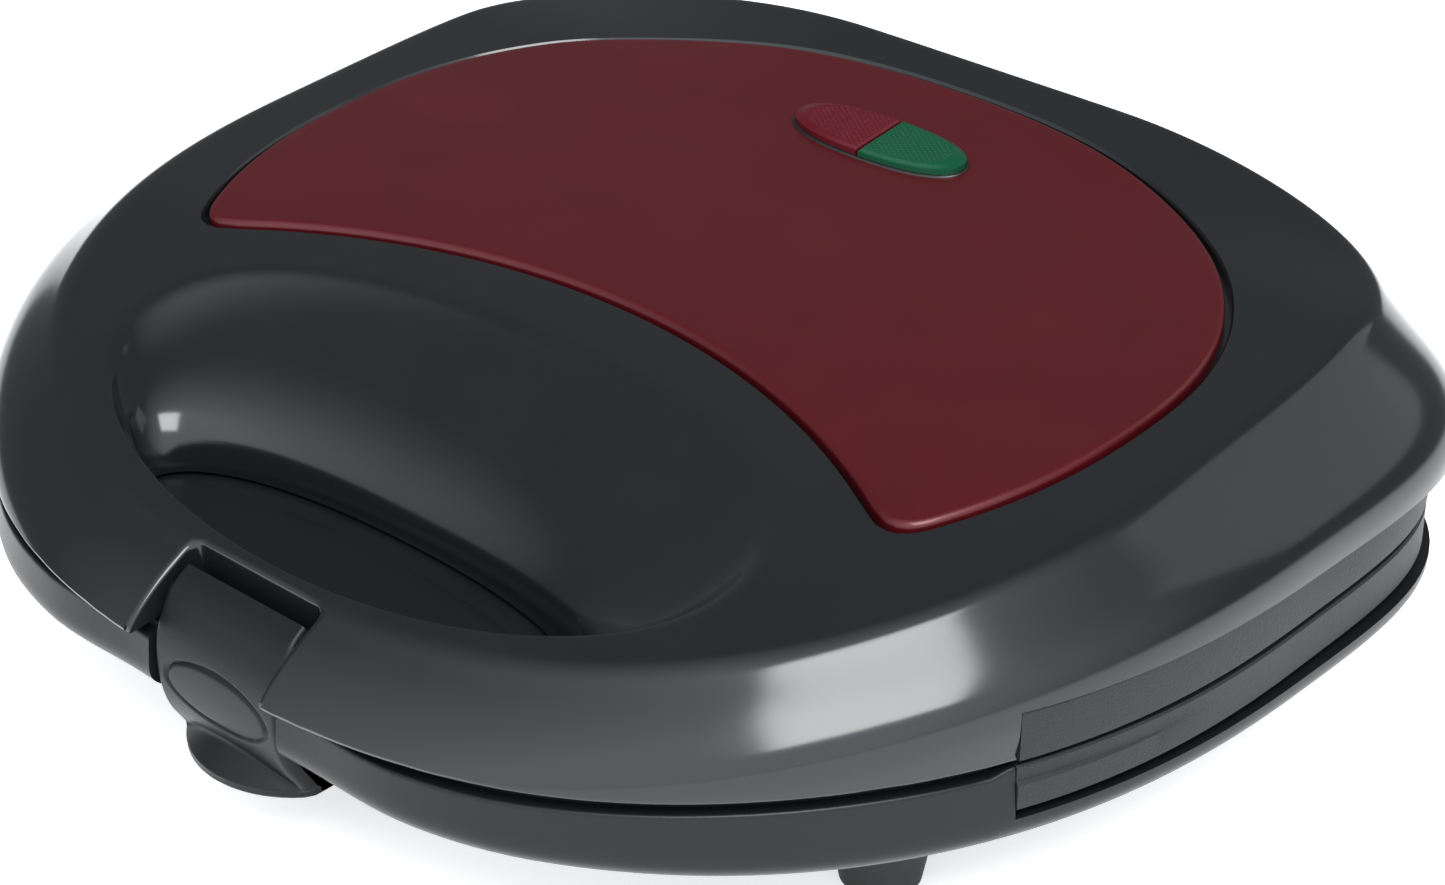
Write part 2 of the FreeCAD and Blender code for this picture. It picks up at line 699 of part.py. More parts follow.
def make_lamp(side, label):
    """A small glow lamp with rounded ends, lying in the holder."""
    start = size.lamp_x if side > 0 else -size.lamp_x - size.lamp_length
    lamp = doc.addObject("Part::Cylinder", label + "_tube")
    lamp.setExpression("Radius", "Sizes.lamp_radius")
    lamp.setExpression("Height", "Sizes.lamp_length")
    turned = FreeCAD.Rotation(BACK, 90)
    lamp.Placement = FreeCAD.Placement(Vector(start, size.lens_y, lamp_floor() + size.lamp_radius), turned)
    ends = doc.addObject("Part::Fillet", label)
    ends.Base = lamp
    doc.recompute()
    round_end = size.lamp_radius * LAMP_END
    rims = [i for i, edge in enumerate(lamp.Shape.Edges, start=1) if is_circle(edge)]
    ends.Edges = [(i, round_end, round_end) for i in rims]
    return node(ends, label)


def is_circle(edge):
    return isinstance(edge.Curve, Part.Circle)


# Plates and heating


def make_plate(side, label):
    """A cast plate with seven half-ring moulds and four screw posts behind it."""
    face_z = side * size.plate_gap / 2
    back_z = face_z + side * size.plate_thickness
    solid = prism(plate_outline(), min(face_z, back_z), max(face_z, back_z))
    behind = box(-FAR, FAR, -FAR, FAR, min(face_z, side * FAR), max(face_z, side * FAR))
    for x, y in mould_places():
        shell = Part.makeTorus(size.ring_radius, size.ring_tube + size.ring_wall, Vector(x, y, face_z))
        solid = solid.fuse(shell.common(behind))
    for x, y in post_places():
        post_end = Vector(x, y, back_z + side * size.post_length)
        post = rod(size.post_radius, size.post_length, Vector(x, y, back_z), UP * side)
        hole = rod(size.screw_radius, size.screw_bite, post_end, UP * -side)
        solid = solid.fuse(post).cut(hole)
    for x, y in mould_places():
        solid = solid.cut(Part.makeTorus(size.ring_radius, size.ring_tube, Vector(x, y, face_z)))
    return shape_node(solid.removeSplitter(), label)


def element_level():
    """Middle of the heating element behind its plate."""
    return size.plate_gap / 2 + size.ring_tube + size.ring_wall + size.element_radius + size.element_gap


def make_element(side, label):
    """A bent tube: an open loop whose two ends turn to the back."""
    z = side * element_level()
    half, bend = size.element_half_width, size.element_corner
    front, rear = size.mould_y - size.element_front, size.mould_y + size.element_rear
    end_x, end_bend = size.element_end_x, size.element_end / 2
    corners = [
        (Vector(-end_x, rear + size.element_end, z), 0),
        (Vector(-end_x, rear, z), end_bend),
        (Vector(-half, rear, z), bend),
        (Vector(-half, front, z), bend),
        (Vector(half, front, z), bend),
        (Vector(half, rear, z), bend),
        (Vector(end_x, rear, z), end_bend),
        (Vector(end_x, rear + size.element_end, z), 0),
    ]
    path = rounded_path(corners)
    start = corners[0][0]
    ring = Part.Wire(Part.makeCircle(size.element_radius, start, Vector(0, -1, 0)))
    return shape_node(path.makePipeShell([ring], True, False), label)


def rounded_path(corners):
    """Straight runs joined by arcs that touch both runs."""
    edges = []
    last = corners[0][0]
    for i in range(1, len(corners) - 1):
        point, radius = corners[i]
        back = (corners[i - 1][0] - point).normalize()
        ahead = (corners[i + 1][0] - point).normalize()
        half_turn = back.getAngle(ahead) / 2
        reach = radius / math.tan(half_turn)
        start, end = point + back * reach, point + ahead * reach
        middle = point + (back + ahead).normalize() * (radius / math.sin(half_turn) - radius)
        if (start - last).Length > TINY:
            edges.append(Part.makeLine(last, start))
        edges.append(Part.Arc(start, middle, end).toShape())
        last = end
    edges.append(Part.makeLine(last, corners[-1][0]))
    return Part.Wire(edges)


def make_reflector(side, label):
    """A thin sheet behind the element, with holes for the plate posts."""
    far = reflector_back()
    near = far - size.reflector_thickness
    points = oval(
        size.mould_y,
        size.reflector_half_width,
        size.mould_y - size.reflector_front,
        size.mould_y + size.reflector_rear,
        PLATE_ROUND,
        PLATE_ROUND,
    )
    sheet_metal = prism(points, min(side * near, side * far), max(side * near, side * far))
    hole_radius = size.post_radius + size.boss_wall + size.fit_gap
    for x, y in post_places():
        sheet_metal = sheet_metal.cut(rod(hole_radius, FAR, Vector(x, y, -FAR / 2), UP))
    return shape_node(sheet_metal, label)


def make_screws(side, label):
    """Four pan-head screws through a housing into the posts of its plate."""
    boss = boss_level()
    seat = boss + size.screw_seat
    parts = []
    for i, (x, y) in enumerate(post_places()):
        shank = doc.addObject("Part::Cylinder", f"{label}_shank{i}")
        shank.setExpression("Radius", "Sizes.screw_radius")
        shank.setExpression("Height", "Sizes.screw_bite + Sizes.screw_seat - Sizes.screw_tip_gap")
        head = doc.addObject("Part::Cylinder", f"{label}_head{i}")
        head.setExpression("Radius", "Sizes.screw_head_radius")
        head.setExpression("Height", "Sizes.screw_head_height")
        flip = FreeCAD.Rotation() if side > 0 else FreeCAD.Rotation(RIGHT, 180)
        tip = side * (boss - size.screw_bite + size.screw_tip_gap)
        shank.Placement = FreeCAD.Placement(Vector(x, y, tip), flip)
        head.Placement = FreeCAD.Placement(Vector(x, y, side * seat), flip)
        screw = doc.addObject("Part::Fuse", f"{label}_{i}")
        screw.Base, screw.Tool = shank, head
        parts.append(screw)
    group = doc.addObject("Part::Compound", label)
    group.Links = parts
    return node(group, label)


# The base


def lower_hollow():
    """The space inside the base: clear of the bosses, the latch pocket and the lead inlet."""
    down = UP * -1
    boss_radius = size.post_radius + size.boss_wall
    socket_radius = size.foot_stem_radius + size.wall
    keep = [rod(boss_radius, FAR / 4, Vector(x, y, -boss_level()), down) for x, y in post_places()]
    for x, y in foot_places():
        keep.append(rod(socket_radius, size.pad_height, Vector(x, y, -size.hull_depth), UP))
    half = size.latch_half_width + size.latch_side_gap + size.wall
    keep.append(notch(half, catch_y() + size.catch_depth + size.wall, -FAR / 4, FAR / 4))
    keep.append(inlet_rod(size.gland_radius + size.wall, size.gland_in + size.gland_pad))
    rest_top = -size.rim_depth - size.block_height + size.block_drop
    x0, x1 = size.block_x - size.rest_half_length, size.block_x + size.rest_half_length
    y0, y1 = size.block_y - size.rest_half_width, size.block_y + size.rest_half_width
    keep.append(box(x0, x1, y0, y1, -FAR / 4, rest_top))
    room = prism(case_outline(-size.slot_depth - size.wall), -FAR / 4, -size.seam_gap - size.wall)
    return lower_form(size.wall).common(room).common(under_seam(-size.seam_gap - size.wall)).cut(keep)


def catch_y():
    """Upright face of the base behind the latch."""
    return front_y + size.notch_back - size.catch_front


def inlet_rod(radius, length):
    """A round bar along the mains inlet, from its outer face inwards."""
    start = Vector(0, rear_y + size.rim_out - length, -size.gland_z)
    return rod(radius, length, start, BACK)


def ring_cut(inset, low, high):
    """A band round the outside of the case, down to the given inset."""
    return prism(case_outline(TALL), low, high).cut(prism(case_outline(-inset), low, high))


def deck():
    """The raised floor that shows through the scoop."""
    half_width = size.scoop_floor_half_width - size.deck_gap
    front = scoop_front_y + size.deck_gap
    rear = scoop_floor_rear_y - size.deck_back
    outline = oval((front + rear) / 2, half_width, front, rear, SCOOP_ROUND, SCOOP_ROUND)
    return prism(outline, -size.seam_gap - size.wall - size.deck_rise, size.deck_rise)


def make_lower_housing():
    pad_radius = size.foot_radius + size.pad_edge
    pads = [rod(pad_radius, size.pad_height, Vector(x, y, -size.hull_depth), UP) for x, y in foot_places()]
    pads.append(inlet_rod(size.gland_flange + size.pad_edge, size.gland_in + size.pad_height))
    pads.append(deck())
    low_seam = under_seam(-size.seam_gap - size.front_seam)
    core = prism(case_outline(-size.seam_lip), -TALL, TALL).fuse(band_zone(-TALL, TALL))
    raised = under_seam(-size.seam_gap).cut(low_seam).common(core)
    form = lower_form()
    solid = form.common(low_seam).fuse(form.common(raised)).fuse(pads)
    rim_low = -size.band_lower - size.seam_gap
    slot_low = rim_low - size.slot_height
    half = size.latch_half_width + size.latch_side_gap
    tools = [
        ring_cut(0, rim_low, TALL).common(band_zone(rim_low, TALL)),
        ring_cut(size.slot_depth, slot_low, rim_low).common(band_zone(slot_low, rim_low)),
        lower_hollow(),
        prism(plate_outline(size.plate_clearance), -size.plate_thickness - size.plate_room, TALL),
        notch(half, catch_y(), -FAR / 4, FAR / 4),
        notch(half, catch_y() + size.catch_depth, -size.catch_z - size.catch_height, -size.catch_z),
        inlet_rod(size.gland_radius + size.fit_gap, FAR / 8),
        rod(size.gland_flange + size.fit_gap, FAR / 8, Vector(0, rear_y + size.rim_out, -size.gland_z), BACK),
    ]
    for x, y in foot_places():
        low = Vector(x, y, -size.hull_depth)
        tools.append(rod(size.foot_stem_radius + size.fit_gap, size.foot_socket, low, UP))
    solid = solid.cut(tools + screw_holes(-1))
    spans = both_sides(knuckle_spans()[0]) + both_sides(knuckle_spans()[2])
    solid = solid.fuse([knuckle(span[0], span[1], -1) for span in spans])
    return shape_node(solid, "lower_housing")


def foot_places():
    for x in (-size.foot_x, size.foot_x):
        for y in (-size.foot_front_y, size.foot_rear_y):
            yield x, y


def own_plane(body, role):
    return [item for item in body.Origin.OriginFeatures if item.Role == role][0]


def disc_sketch(body, name, radius):
    """A circle about the body's own axis, sized by the sheet."""
    sketch = body.newObject("Sketcher::SketchObject", name + "_sketch")
    sketch.AttachmentSupport = [(own_plane(body, "XY_Plane"), "")]
    sketch.MapMode = "FlatFace"
    sketch.addGeometry(Part.Circle(Vector(0, 0, 0), UP, 1.0), False)
    sketch.addConstraint(Sketcher.Constraint("Coincident", 0, 3, -1, 1))
    sketch.addConstraint(Sketcher.Constraint("Radius", 0, 1.0))
    sketch.setExpression("Constraints[1]", radius)
    return sketch


def disc_pad(body, name, radius, length, reverse=False):
    """A round pad about the body's own axis, sized by the sheet."""
    sketch = disc_sketch(body, name, radius)
    pad = body.newObject("PartDesign::Pad", name)
    pad.Profile = sketch
    pad.setExpression("Length", length)
    pad.Reversed = reverse
    doc.recompute()
    return pad


def make_foot(x, y, label):
    """A tapered rubber foot with a stem that plugs into the bottom."""
    body = doc.addObject("PartDesign::Body", label)
    pad = disc_pad(body, "pad", "Sizes.foot_radius", "Sizes.foot_height", reverse=True)
    pad.setExpression("TaperAngle", "-atan((Sizes.foot_radius - Sizes.foot_base_radius) / Sizes.foot_height)")
    disc_pad(body, "stem", "Sizes.foot_stem_radius", "Sizes.foot_stem")
    body.Placement = FreeCAD.Placement(Vector(x, 0, 0), FreeCAD.Rotation())
    node(body, label)
    body.setExpression("Placement.Base.y", f"{SHIFT_Y} + {y}")
    body.setExpression("Placement.Base.z", "Sizes.part_height - Sizes.hull_depth")
    return body


def make_gland():
    """The bush that the mains lead passes through."""
    body = doc.addObject("PartDesign::Body", "mains_inlet")
    disc_pad(body, "bush", "Sizes.gland_radius", "Sizes.gland_in", reverse=True)
    disc_pad(body, "flange", "Sizes.gland_flange", "Sizes.gland_out")
    bore = body.newObject("PartDesign::Pocket", "bore")
    bore.Profile = disc_sketch(body, "bore", "Sizes.gland_bore")
    bore.Type = "ThroughAll"
    bore.Midplane = True
    body.Placement = FreeCAD.Placement(Vector(0, 0, 0), FreeCAD.Rotation(RIGHT, -90))
    node(body, "mains_inlet")
    seat = "Sizes.widest_y + Sizes.rear_reach + Sizes.rim_out"
    body.setExpression("Placement.Base.y", f"{SHIFT_Y} + {seat}")
    body.setExpression("Placement.Base.z", "Sizes.part_height - Sizes.gland_z")
    return body


def make_hinge_pin(side, label):
    """A headed steel pin through the three knuckles of one hinge."""
    body = doc.addObject("PartDesign::Body", label)
    length = "Sizes.knuckle_width * 2 + Sizes.knuckle_mid_width + Sizes.knuckle_gap * 2"
    disc_pad(body, "shank", "Sizes.pin_radius", length)
    disc_pad(body, "head", "Sizes.pin_head_radius", "Sizes.pin_head", reverse=True)
    turn = FreeCAD.Rotation(BACK, 90 * side)
    body.Placement = FreeCAD.Placement(Vector(side * size.knuckle_inner_x, 0, 0), turn)
    node(body, label)
    body.setExpression("Placement.Base.x", f"{side} * Sizes.knuckle_inner_x")
    body.setExpression("Placement.Base.y", f"{SHIFT_Y} + Sizes.widest_y + Sizes.rear_reach + Sizes.hinge_out")
    return body


def make_latch_pin():
    pin = doc.addObject("Part::Cylinder", "latch_pin")
    pin.setExpression("Radius", "Sizes.latch_pin_radius")
    reach = "Sizes.latch_half_width + Sizes.latch_side_gap + Sizes.latch_pin_end"
    pin.setExpression("Height", f"2 * ({reach})")
    pin.Placement = FreeCAD.Placement(Vector(0, 0, 0), FreeCAD.Rotation(BACK, 90))
    node(pin, "latch_pin")
    pin.setExpression("Placement.Base.x", f"-({reach})")
    pivot = "Sizes.widest_y - Sizes.front_reach + Sizes.latch_pivot_back"
    pin.setExpression("Placement.Base.y", f"{SHIFT_Y} + {pivot}")
    pin.setExpression("Placement.Base.z", "Sizes.part_height + Sizes.latch_pivot_z")
    return pin


def latch_body():
    """The latch from the side: a curved wall, drawn across its width."""
    outer = [Vector(0, front_y + back, z) for back, z in LATCH_FACE]
    thick = size.latch_wall
    inner = [point + BACK * thick for point in outer]
    inner[0] = outer[0] - UP * thick
    inner[1] = outer[1] + BACK * thick / 2 - UP * thick
    corner = Vector(0, outer[-1].y, -size.latch_drop)
    edges = [
        smooth_edge(outer),
        Part.makeLine(outer[-1], corner),
        Part.makeLine(corner, corner + BACK * thick),
        Part.makeLine(corner + BACK * thick, inner[-1]),
        smooth_edge(inner),
        Part.makeLine(inner[0], outer[0]),
    ]
    side = Part.Face(Part.Wire(Part.__sortEdges__(edges)))
    side.translate(RIGHT * -size.latch_half_width)
    return side.extrude(RIGHT * 2 * size.latch_half_width)


def smooth_edge(points):
    curve = Part.BSplineCurve()
    curve.interpolate(points)
    return curve.toShape()


def latch_lip():
    """The finger lip: half round seen from above, with a sloped upper side."""
    low = Vector(0, front_y + size.lip_back, -size.latch_drop)
    edge = low + UP * size.lip_thickness
    disc = rod(size.lip_radius, size.lip_thickness, low, UP)
    cone = Part.makeCone(size.lip_radius, size.lip_radius - size.lip_slope, size.lip_rise, edge, UP)
    back = front_y + LATCH_FACE[-1][0] + size.latch_wall / 2
    half = size.latch_half_width
    return disc.fuse(cone).common(box(-half, half, front_y - FAR / 8, back, -FAR / 4, 0))


def make_latch():
    """A curved thumb latch: face with a lip, barrel on its pin, and a hook that goes under the catch."""
    half = size.latch_half_width
    pivot_y = front_y + size.latch_pivot_back
    pivot = Vector(-half, pivot_y, size.latch_pivot_z)
    barrel = rod(size.latch_barrel, 2 * half, pivot, RIGHT)
    wall_y = front_y + min(back for back, z in LATCH_FACE) + size.latch_wall / 2
    hook_top = -size.catch_z - size.catch_gap
    hook_end = catch_y() + size.catch_depth - size.catch_gap
    inset = size.latch_side_gap * 3
    hook = box(-half + inset, half - inset, wall_y, hook_end, hook_top - size.latch_wall, hook_top)
    web_y = pivot_y - size.latch_barrel + size.fit_gap
    web_low = size.latch_pivot_z - size.latch_barrel
    web = box(-half, half, web_y, pivot_y, web_low, size.latch_pivot_z)
    solid = latch_body().fuse([latch_lip(), hook, barrel, web])
    bore = rod(size.latch_pin_radius + size.pin_gap, 2 * half, pivot, RIGHT)
    return shape_node(solid.cut(bore).removeSplitter(), "latch")


# Electrical pieces


def make_thermostat(side, label):
    """A snap-disc thermostat with two tabs, standing on the back of a plate."""
    body = doc.addObject("PartDesign::Body", label)
    disc_pad(body, "can", "Sizes.stat_radius", "Sizes.stat_height")
    disc_pad(body, "cap", "Sizes.stat_cap_radius", "Sizes.stat_height + Sizes.stat_tab")
    turn = FreeCAD.Rotation() if side > 0 else FreeCAD.Rotation(RIGHT, 180)
    body.Placement = FreeCAD.Placement(Vector(0, 0, 0), turn)
    node(body, label)
    body.setExpression("Placement.Base.x", "Sizes.stat_x")
    body.setExpression("Placement.Base.y", f"{SHIFT_Y} - Sizes.stat_y")
    body.setExpression(
        "Placement.Base.z", f"Sizes.part_height + {side} * (Sizes.plate_gap / 2 + Sizes.plate_thickness)"
    )
    return body


def make_thermal_fuse():
    fuse = doc.addObject("Part::Cylinder", "thermal_fuse")
    fuse.setExpression("Radius", "Sizes.fuse_radius")
    fuse.setExpression("Height", "Sizes.fuse_length")
    fuse.Placement = FreeCAD.Placement(Vector(0, 0, 0), FreeCAD.Rotation(BACK, 90))
    node(fuse, "thermal_fuse")
    fuse.setExpression("Placement.Base.x", "-Sizes.stat_x - Sizes.fuse_length / 2")
    fuse.setExpression("Placement.Base.y", f"{SHIFT_Y} - Sizes.stat_y")
    level = "Sizes.plate_gap / 2 + Sizes.plate_thickness + Sizes.fuse_radius"
    fuse.setExpression("Placement.Base.z", f"Sizes.part_height - ({level})")
    return fuse


def make_terminal_block():
    """A three-way ceramic block on the floor of the base."""
    block = doc.addObject("Part::Box", "block_body")
    block.setExpression("Length", "Sizes.block_length")
    block.setExpression("Width", "Sizes.block_width")
    block.setExpression("Height", "Sizes.block_height")
    holes = []
    for i in range(BLOCK_WAYS):
        hole = doc.addObject("Part::Cylinder", f"block_hole{i}")
        hole.setExpression("Radius", "Sizes.block_bore")
        hole.setExpression("Height", "Sizes.block_width * 3")
        hole.Placement = FreeCAD.Placement(Vector(0, 0, 0), FreeCAD.Rotation(RIGHT, -90))
        hole.setExpression("Placement.Base.x", f"Sizes.block_length * ({i} + 0.5) / {BLOCK_WAYS}")
        hole.setExpression("Placement.Base.y", "-Sizes.block_width")
        hole.setExpression("Placement.Base.z", "Sizes.block_height / 2")
        holes.append(hole)
    bores = doc.addObject("Part::MultiFuse", "block_holes")
    bores.Shapes = holes
    cut = doc.addObject("Part::Cut", "terminal_block")
    cut.Base, cut.Tool = block, bores
    node(cut, "terminal_block")
    cut.setExpression("Placement.Base.x", "Sizes.block_x - Sizes.block_length / 2")
    cut.setExpression("Placement.Base.y", f"{SHIFT_Y} + Sizes.block_y - Sizes.block_width / 2")
    level = "Sizes.part_height - Sizes.rim_depth - Sizes.block_height + Sizes.block_drop"
    cut.setExpression("Placement.Base.z", level)
    return cut


make_upper_housing()
make_top_panel()
make_lens(-1, "red_lens")
make_lens(1, "green_lens")
make_lamp_holder()
make_lamp(-1, "power_lamp")
make_lamp(1, "ready_lamp")
make_plate(1, "upper_plate")
make_plate(-1, "lower_plate")
make_element(1, "upper_heating_element")
make_element(-1, "lower_heating_element")
make_reflector(1, "upper_reflector")
make_reflector(-1, "lower_reflector")
make_screws(1, "upper_plate_screws")
make_screws(-1, "lower_plate_screws")
make_thermostat(1, "upper_thermostat")
make_thermostat(-1, "lower_thermostat")
make_thermal_fuse()
make_lower_housing()
for foot, (foot_x, foot_y) in zip(("front_left", "rear_left", "front_right", "rear_right"), foot_places()):
    make_foot(foot_x, foot_y, "foot_" + foot)
make_gland()
make_hinge_pin(-1, "hinge_pin_left")
make_hinge_pin(1, "hinge_pin_right")
make_latch_pin()
make_latch()
make_terminal_block()
doc.recompute()

for item in doc.Objects:
    if "Invalid" in item.State or "Error" in item.State:
        raise RuntimeError(f"{item.Label} failed: {item.State}")
os.makedirs("parts", exist_ok=True)
for item in nodes:
    if item.Shape.isNull() or not item.Shape.isValid():
        raise RuntimeError(f"{item.Label} has no valid shape")
for item in nodes:
    item.Shape.exportStep(f"parts/{item.Label}.step")
    print(item.Label, len(item.Shape.Solids), "solids", round(item.Shape.Volume), "mm3")
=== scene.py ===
import bmesh
import bpy
import math
import numpy as np
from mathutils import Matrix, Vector
from mathutils.bvhtree import BVHTree


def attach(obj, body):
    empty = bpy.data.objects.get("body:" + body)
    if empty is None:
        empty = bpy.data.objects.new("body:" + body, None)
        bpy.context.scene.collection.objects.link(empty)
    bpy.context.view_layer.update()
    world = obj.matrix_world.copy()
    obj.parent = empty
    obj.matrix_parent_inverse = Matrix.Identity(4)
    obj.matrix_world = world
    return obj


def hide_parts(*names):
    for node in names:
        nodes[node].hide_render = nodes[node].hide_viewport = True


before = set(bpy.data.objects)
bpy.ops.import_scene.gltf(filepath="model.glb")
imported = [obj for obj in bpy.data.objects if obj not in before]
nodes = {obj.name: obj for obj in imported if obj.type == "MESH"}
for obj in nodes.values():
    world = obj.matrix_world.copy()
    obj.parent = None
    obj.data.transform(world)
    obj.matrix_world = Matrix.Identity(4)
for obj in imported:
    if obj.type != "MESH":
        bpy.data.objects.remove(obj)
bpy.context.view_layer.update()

# Case sizes in millimetres, in the case frame: X right, Y back, Z up from the seam plane
# A round is the exponent of an outline: 2 for an ellipse, more for squarer corners
MM = 0.001
SHIFT_Y, PART_Z = -12.8, 37.0
HALF_WIDTH, WIDEST_Y = 118.0, 31.0
FRONT_Y, REAR_Y, HINGE_Y = -90.5, 104.5, 111.0
CASE_FRONT_ROUND, CASE_REAR_ROUND = 2.3, 3.7
FLANK_OUT, NOSE_OUT, FLANK_REAR_ROUND = 1.6, 0.4, 4.3
CREASE_Y, CREASE_INSET = 22.0, 14.2
CREASE_FRONT, CREASE_REAR = FRONT_Y + 15, REAR_Y - 1.5
CREASE_FRONT_ROUND, CREASE_REAR_ROUND = 2.5, 4.2
TOP_HEIGHTS = (6.6, 22.74, 28.36, 36.78)
TOP_FIRST, TOP_LAST = FRONT_Y + 10.5, CREASE_REAR
CORNER_FALL, FALL_ACROSS, FALL_ALONG = 4.5, (30, 100), (65, 105)
SEAM_RUN, SEAM_DROP = 49, 2.6
SEAM_GAP, FRONT_SEAM = 0.8, 1.2
SCOOP_ROUND = 2.1
PLATE_FRONT, PLATE_SIDE, PLATE_REAR, PLATE_ROUND = 57, 18, 8, 3.0
BAND_Y, BAND_ROOT, BAND_REACH = -27.0, -1.4, 0.15
BAND_TOP, BAND_LOW = 8.8, -8.2
REBATE_ROOT, REBATE_OUT = -1.2, 12
SLOT_LOW, SLOT_ROOT = -9.7, -3.0
NOTCH_HALF, NOTCH_BACK = 15.0, FRONT_Y + 15.3
CATCH_Y = FRONT_Y + 14.3
PANEL_CENTRE = np.array([0.0, 45.0])
PANEL_ROUND, PANEL_GAP, RECESS_DEPTH = 2.3, 1.0, 2.2
LENS_Y, LENS_LENGTH, LENS_WIDTH, LENS_ROUND = 70.5, 18.7, 6.3, 2.3
LATCH_TOP, LATCH_HALF = 5.9, 14.4
HULL_LOW, FLOOR_INSET = -29.0, 36.0
PIN_BORE, KNUCKLE_RADIUS = 2.05, 5.5
LID_KNUCKLE, BASE_KNUCKLE = 11, 8
FOOT_X, FOOT_FRONT_Y, FOOT_REAR_Y = 80, -22, 66
ROUNDS = 288
# How far the edge of a cutting form stays off the face it meets
EDGE_OFF = 0.02

# Photo frame and camera, in pixels and metres
PHOTO_WIDTH = 1445
FOCAL_PIXELS = 3250
SENSOR = 36.0
CAMERA_PLACE = Vector((0.33634, -0.35138, 0.30435))
CAMERA_AZIMUTH = 42.44
CAMERA_ELEVATION = 29.28


# Curves of the case


def top_height(y):
    """Top face above the seam plane: one cubic through four stations."""
    step = (TOP_LAST - TOP_FIRST) / 3
    total = 0.0
    for i, height in enumerate(TOP_HEIGHTS):
        share = 1.0
        for j in range(4):
            if j != i:
                share = share * (y - TOP_FIRST - j * step) / ((i - j) * step)
        total = total + height * share
    return total


def top_surface(x, y):
    """Top face with its rear corners falling away a little."""
    return top_height(y) - CORNER_FALL * smooth_step(np.abs(x), *FALL_ACROSS) * smooth_step(y, *FALL_ALONG)


def seam_height(y):
    """Seam between the halves, which drops towards the front."""
    run = np.clip((FRONT_Y + SEAM_RUN - y) / SEAM_RUN, 0, None)
    return -SEAM_DROP * run * run


def smooth_step(value, low, high):
    """Rises from 0 to 1 between two values, level at both ends."""
    t = np.clip((value - low) / (high - low), 0, 1)
    return t * t * (3 - 2 * t)


def oval(centre_y, half_width, front, rear, front_round, rear_round, angle=None):
    """A superellipse whose front and rear have their own reach and round."""
    if angle is None:
        angle = np.arange(ROUNDS) * 2 * math.pi / ROUNDS + math.pi / 2
    side, along = np.cos(angle), np.sin(angle)
    reach = np.where(along > 0, rear - centre_y, centre_y - front)
    power = np.where(along > 0, rear_round, front_round)
    radius = (np.abs(side / half_width) ** power + np.abs(along / reach) ** power) ** (-1 / power)
    return np.stack([radius * side, centre_y + radius * along], axis=1)


def case_outline(grow=0.0, nose=None, angle=None, rear_round=CASE_REAR_ROUND):
    """The case seen from above, grown all round, or by a different amount at the nose."""
    front = FRONT_Y - (grow if nose is None else nose)
    return oval(WIDEST_Y, HALF_WIDTH + grow, front, REAR_Y + grow, CASE_FRONT_ROUND, rear_round, angle)


def plate_outline(grow=0.0):
    """The plates' edge seen from above."""
    front, rear = FRONT_Y + PLATE_FRONT - grow, REAR_Y - PLATE_REAR + grow
    return oval(WIDEST_Y, HALF_WIDTH - PLATE_SIDE + grow, front, rear, PLATE_ROUND, PLATE_ROUND)


def spline(knots, values, at):
    """A smooth curve through the given values (natural cubic spline)."""
    n = len(knots)
    h = np.diff(knots)
    matrix = np.zeros((n, n))
    right = np.zeros((n,) + values.shape[1:])
    matrix[0, 0] = matrix[-1, -1] = 1
    for i in range(1, n - 1):
        matrix[i, i - 1:i + 2] = h[i - 1], 2 * (h[i - 1] + h[i]), h[i]
        right[i] = 6 * ((values[i + 1] - values[i]) / h[i] - (values[i] - values[i - 1]) / h[i - 1])
    bend = np.linalg.solve(matrix, right.reshape(n, -1)).reshape(right.shape)
    cell = np.clip(np.searchsorted(knots, at) - 1, 0, n - 2)
    shape = (-1,) + (1,) * (values.ndim - 1)
    a = ((knots[cell + 1] - at) / h[cell]).reshape(shape)
    b = 1 - a
    hh = (h[cell] ** 2 / 6).reshape(shape)
    curve = (a ** 3 - a) * bend[cell] + (b ** 3 - b) * bend[cell + 1]
    return a * values[cell] + b * values[cell + 1] + curve * hh


def ring_knots(control):
    """Mean distance of each control ring from the first, along the rings."""
    gaps = np.linalg.norm(np.diff(control, axis=0), axis=2).mean(axis=1)
    return np.concatenate([[0], np.cumsum(gaps)])


def arc_lengths(path):
    """Distance of each point from the first, along the path."""
    return np.concatenate([[0], np.cumsum(np.linalg.norm(np.diff(path, axis=0), axis=1))])


def resampled(path, at):
    """Points of a path at the given distances along it."""
    dist = arc_lengths(path)
    return np.stack([np.interp(at, dist, path[:, k]) for k in range(path.shape[1])], axis=1)


def bend_between(start, corner, end, steps):
    """Rings of a rounded corner from start to end."""
    rings = []
    for i in range(1, steps + 1):
        t = i / steps
        rings.append((1 - t) ** 2 * start + 2 * t * (1 - t) * corner + t * t * end)
    return rings


# Mesh helpers


def mesh_object(name, verts, faces):
    """A mesh piece from case-frame millimetres."""
    mesh = bpy.data.meshes.new(name)
    points = np.asarray(verts, dtype=float)
    points = (points + np.array([0, SHIFT_Y, PART_Z])) * MM
    mesh.from_pydata(points.tolist(), [], faces)
    mesh.validate()
    obj = bpy.data.objects.new(name, mesh)
    bpy.context.collection.objects.link(obj)
    bm = bmesh.new()
    bm.from_mesh(mesh)
    bmesh.ops.recalc_face_normals(bm, faces=bm.faces)
    bm.to_mesh(mesh)
    bm.free()
    return obj


def quad_rows(rows, count, closed):
    """Faces between stacked rows of points."""
    faces = []
    for r in range(rows - 1):
        for s in range(count if closed else count - 1):
            n = (s + 1) % count
            faces.append((r * count + s, r * count + n, (r + 1) * count + n, (r + 1) * count + s))
    return faces


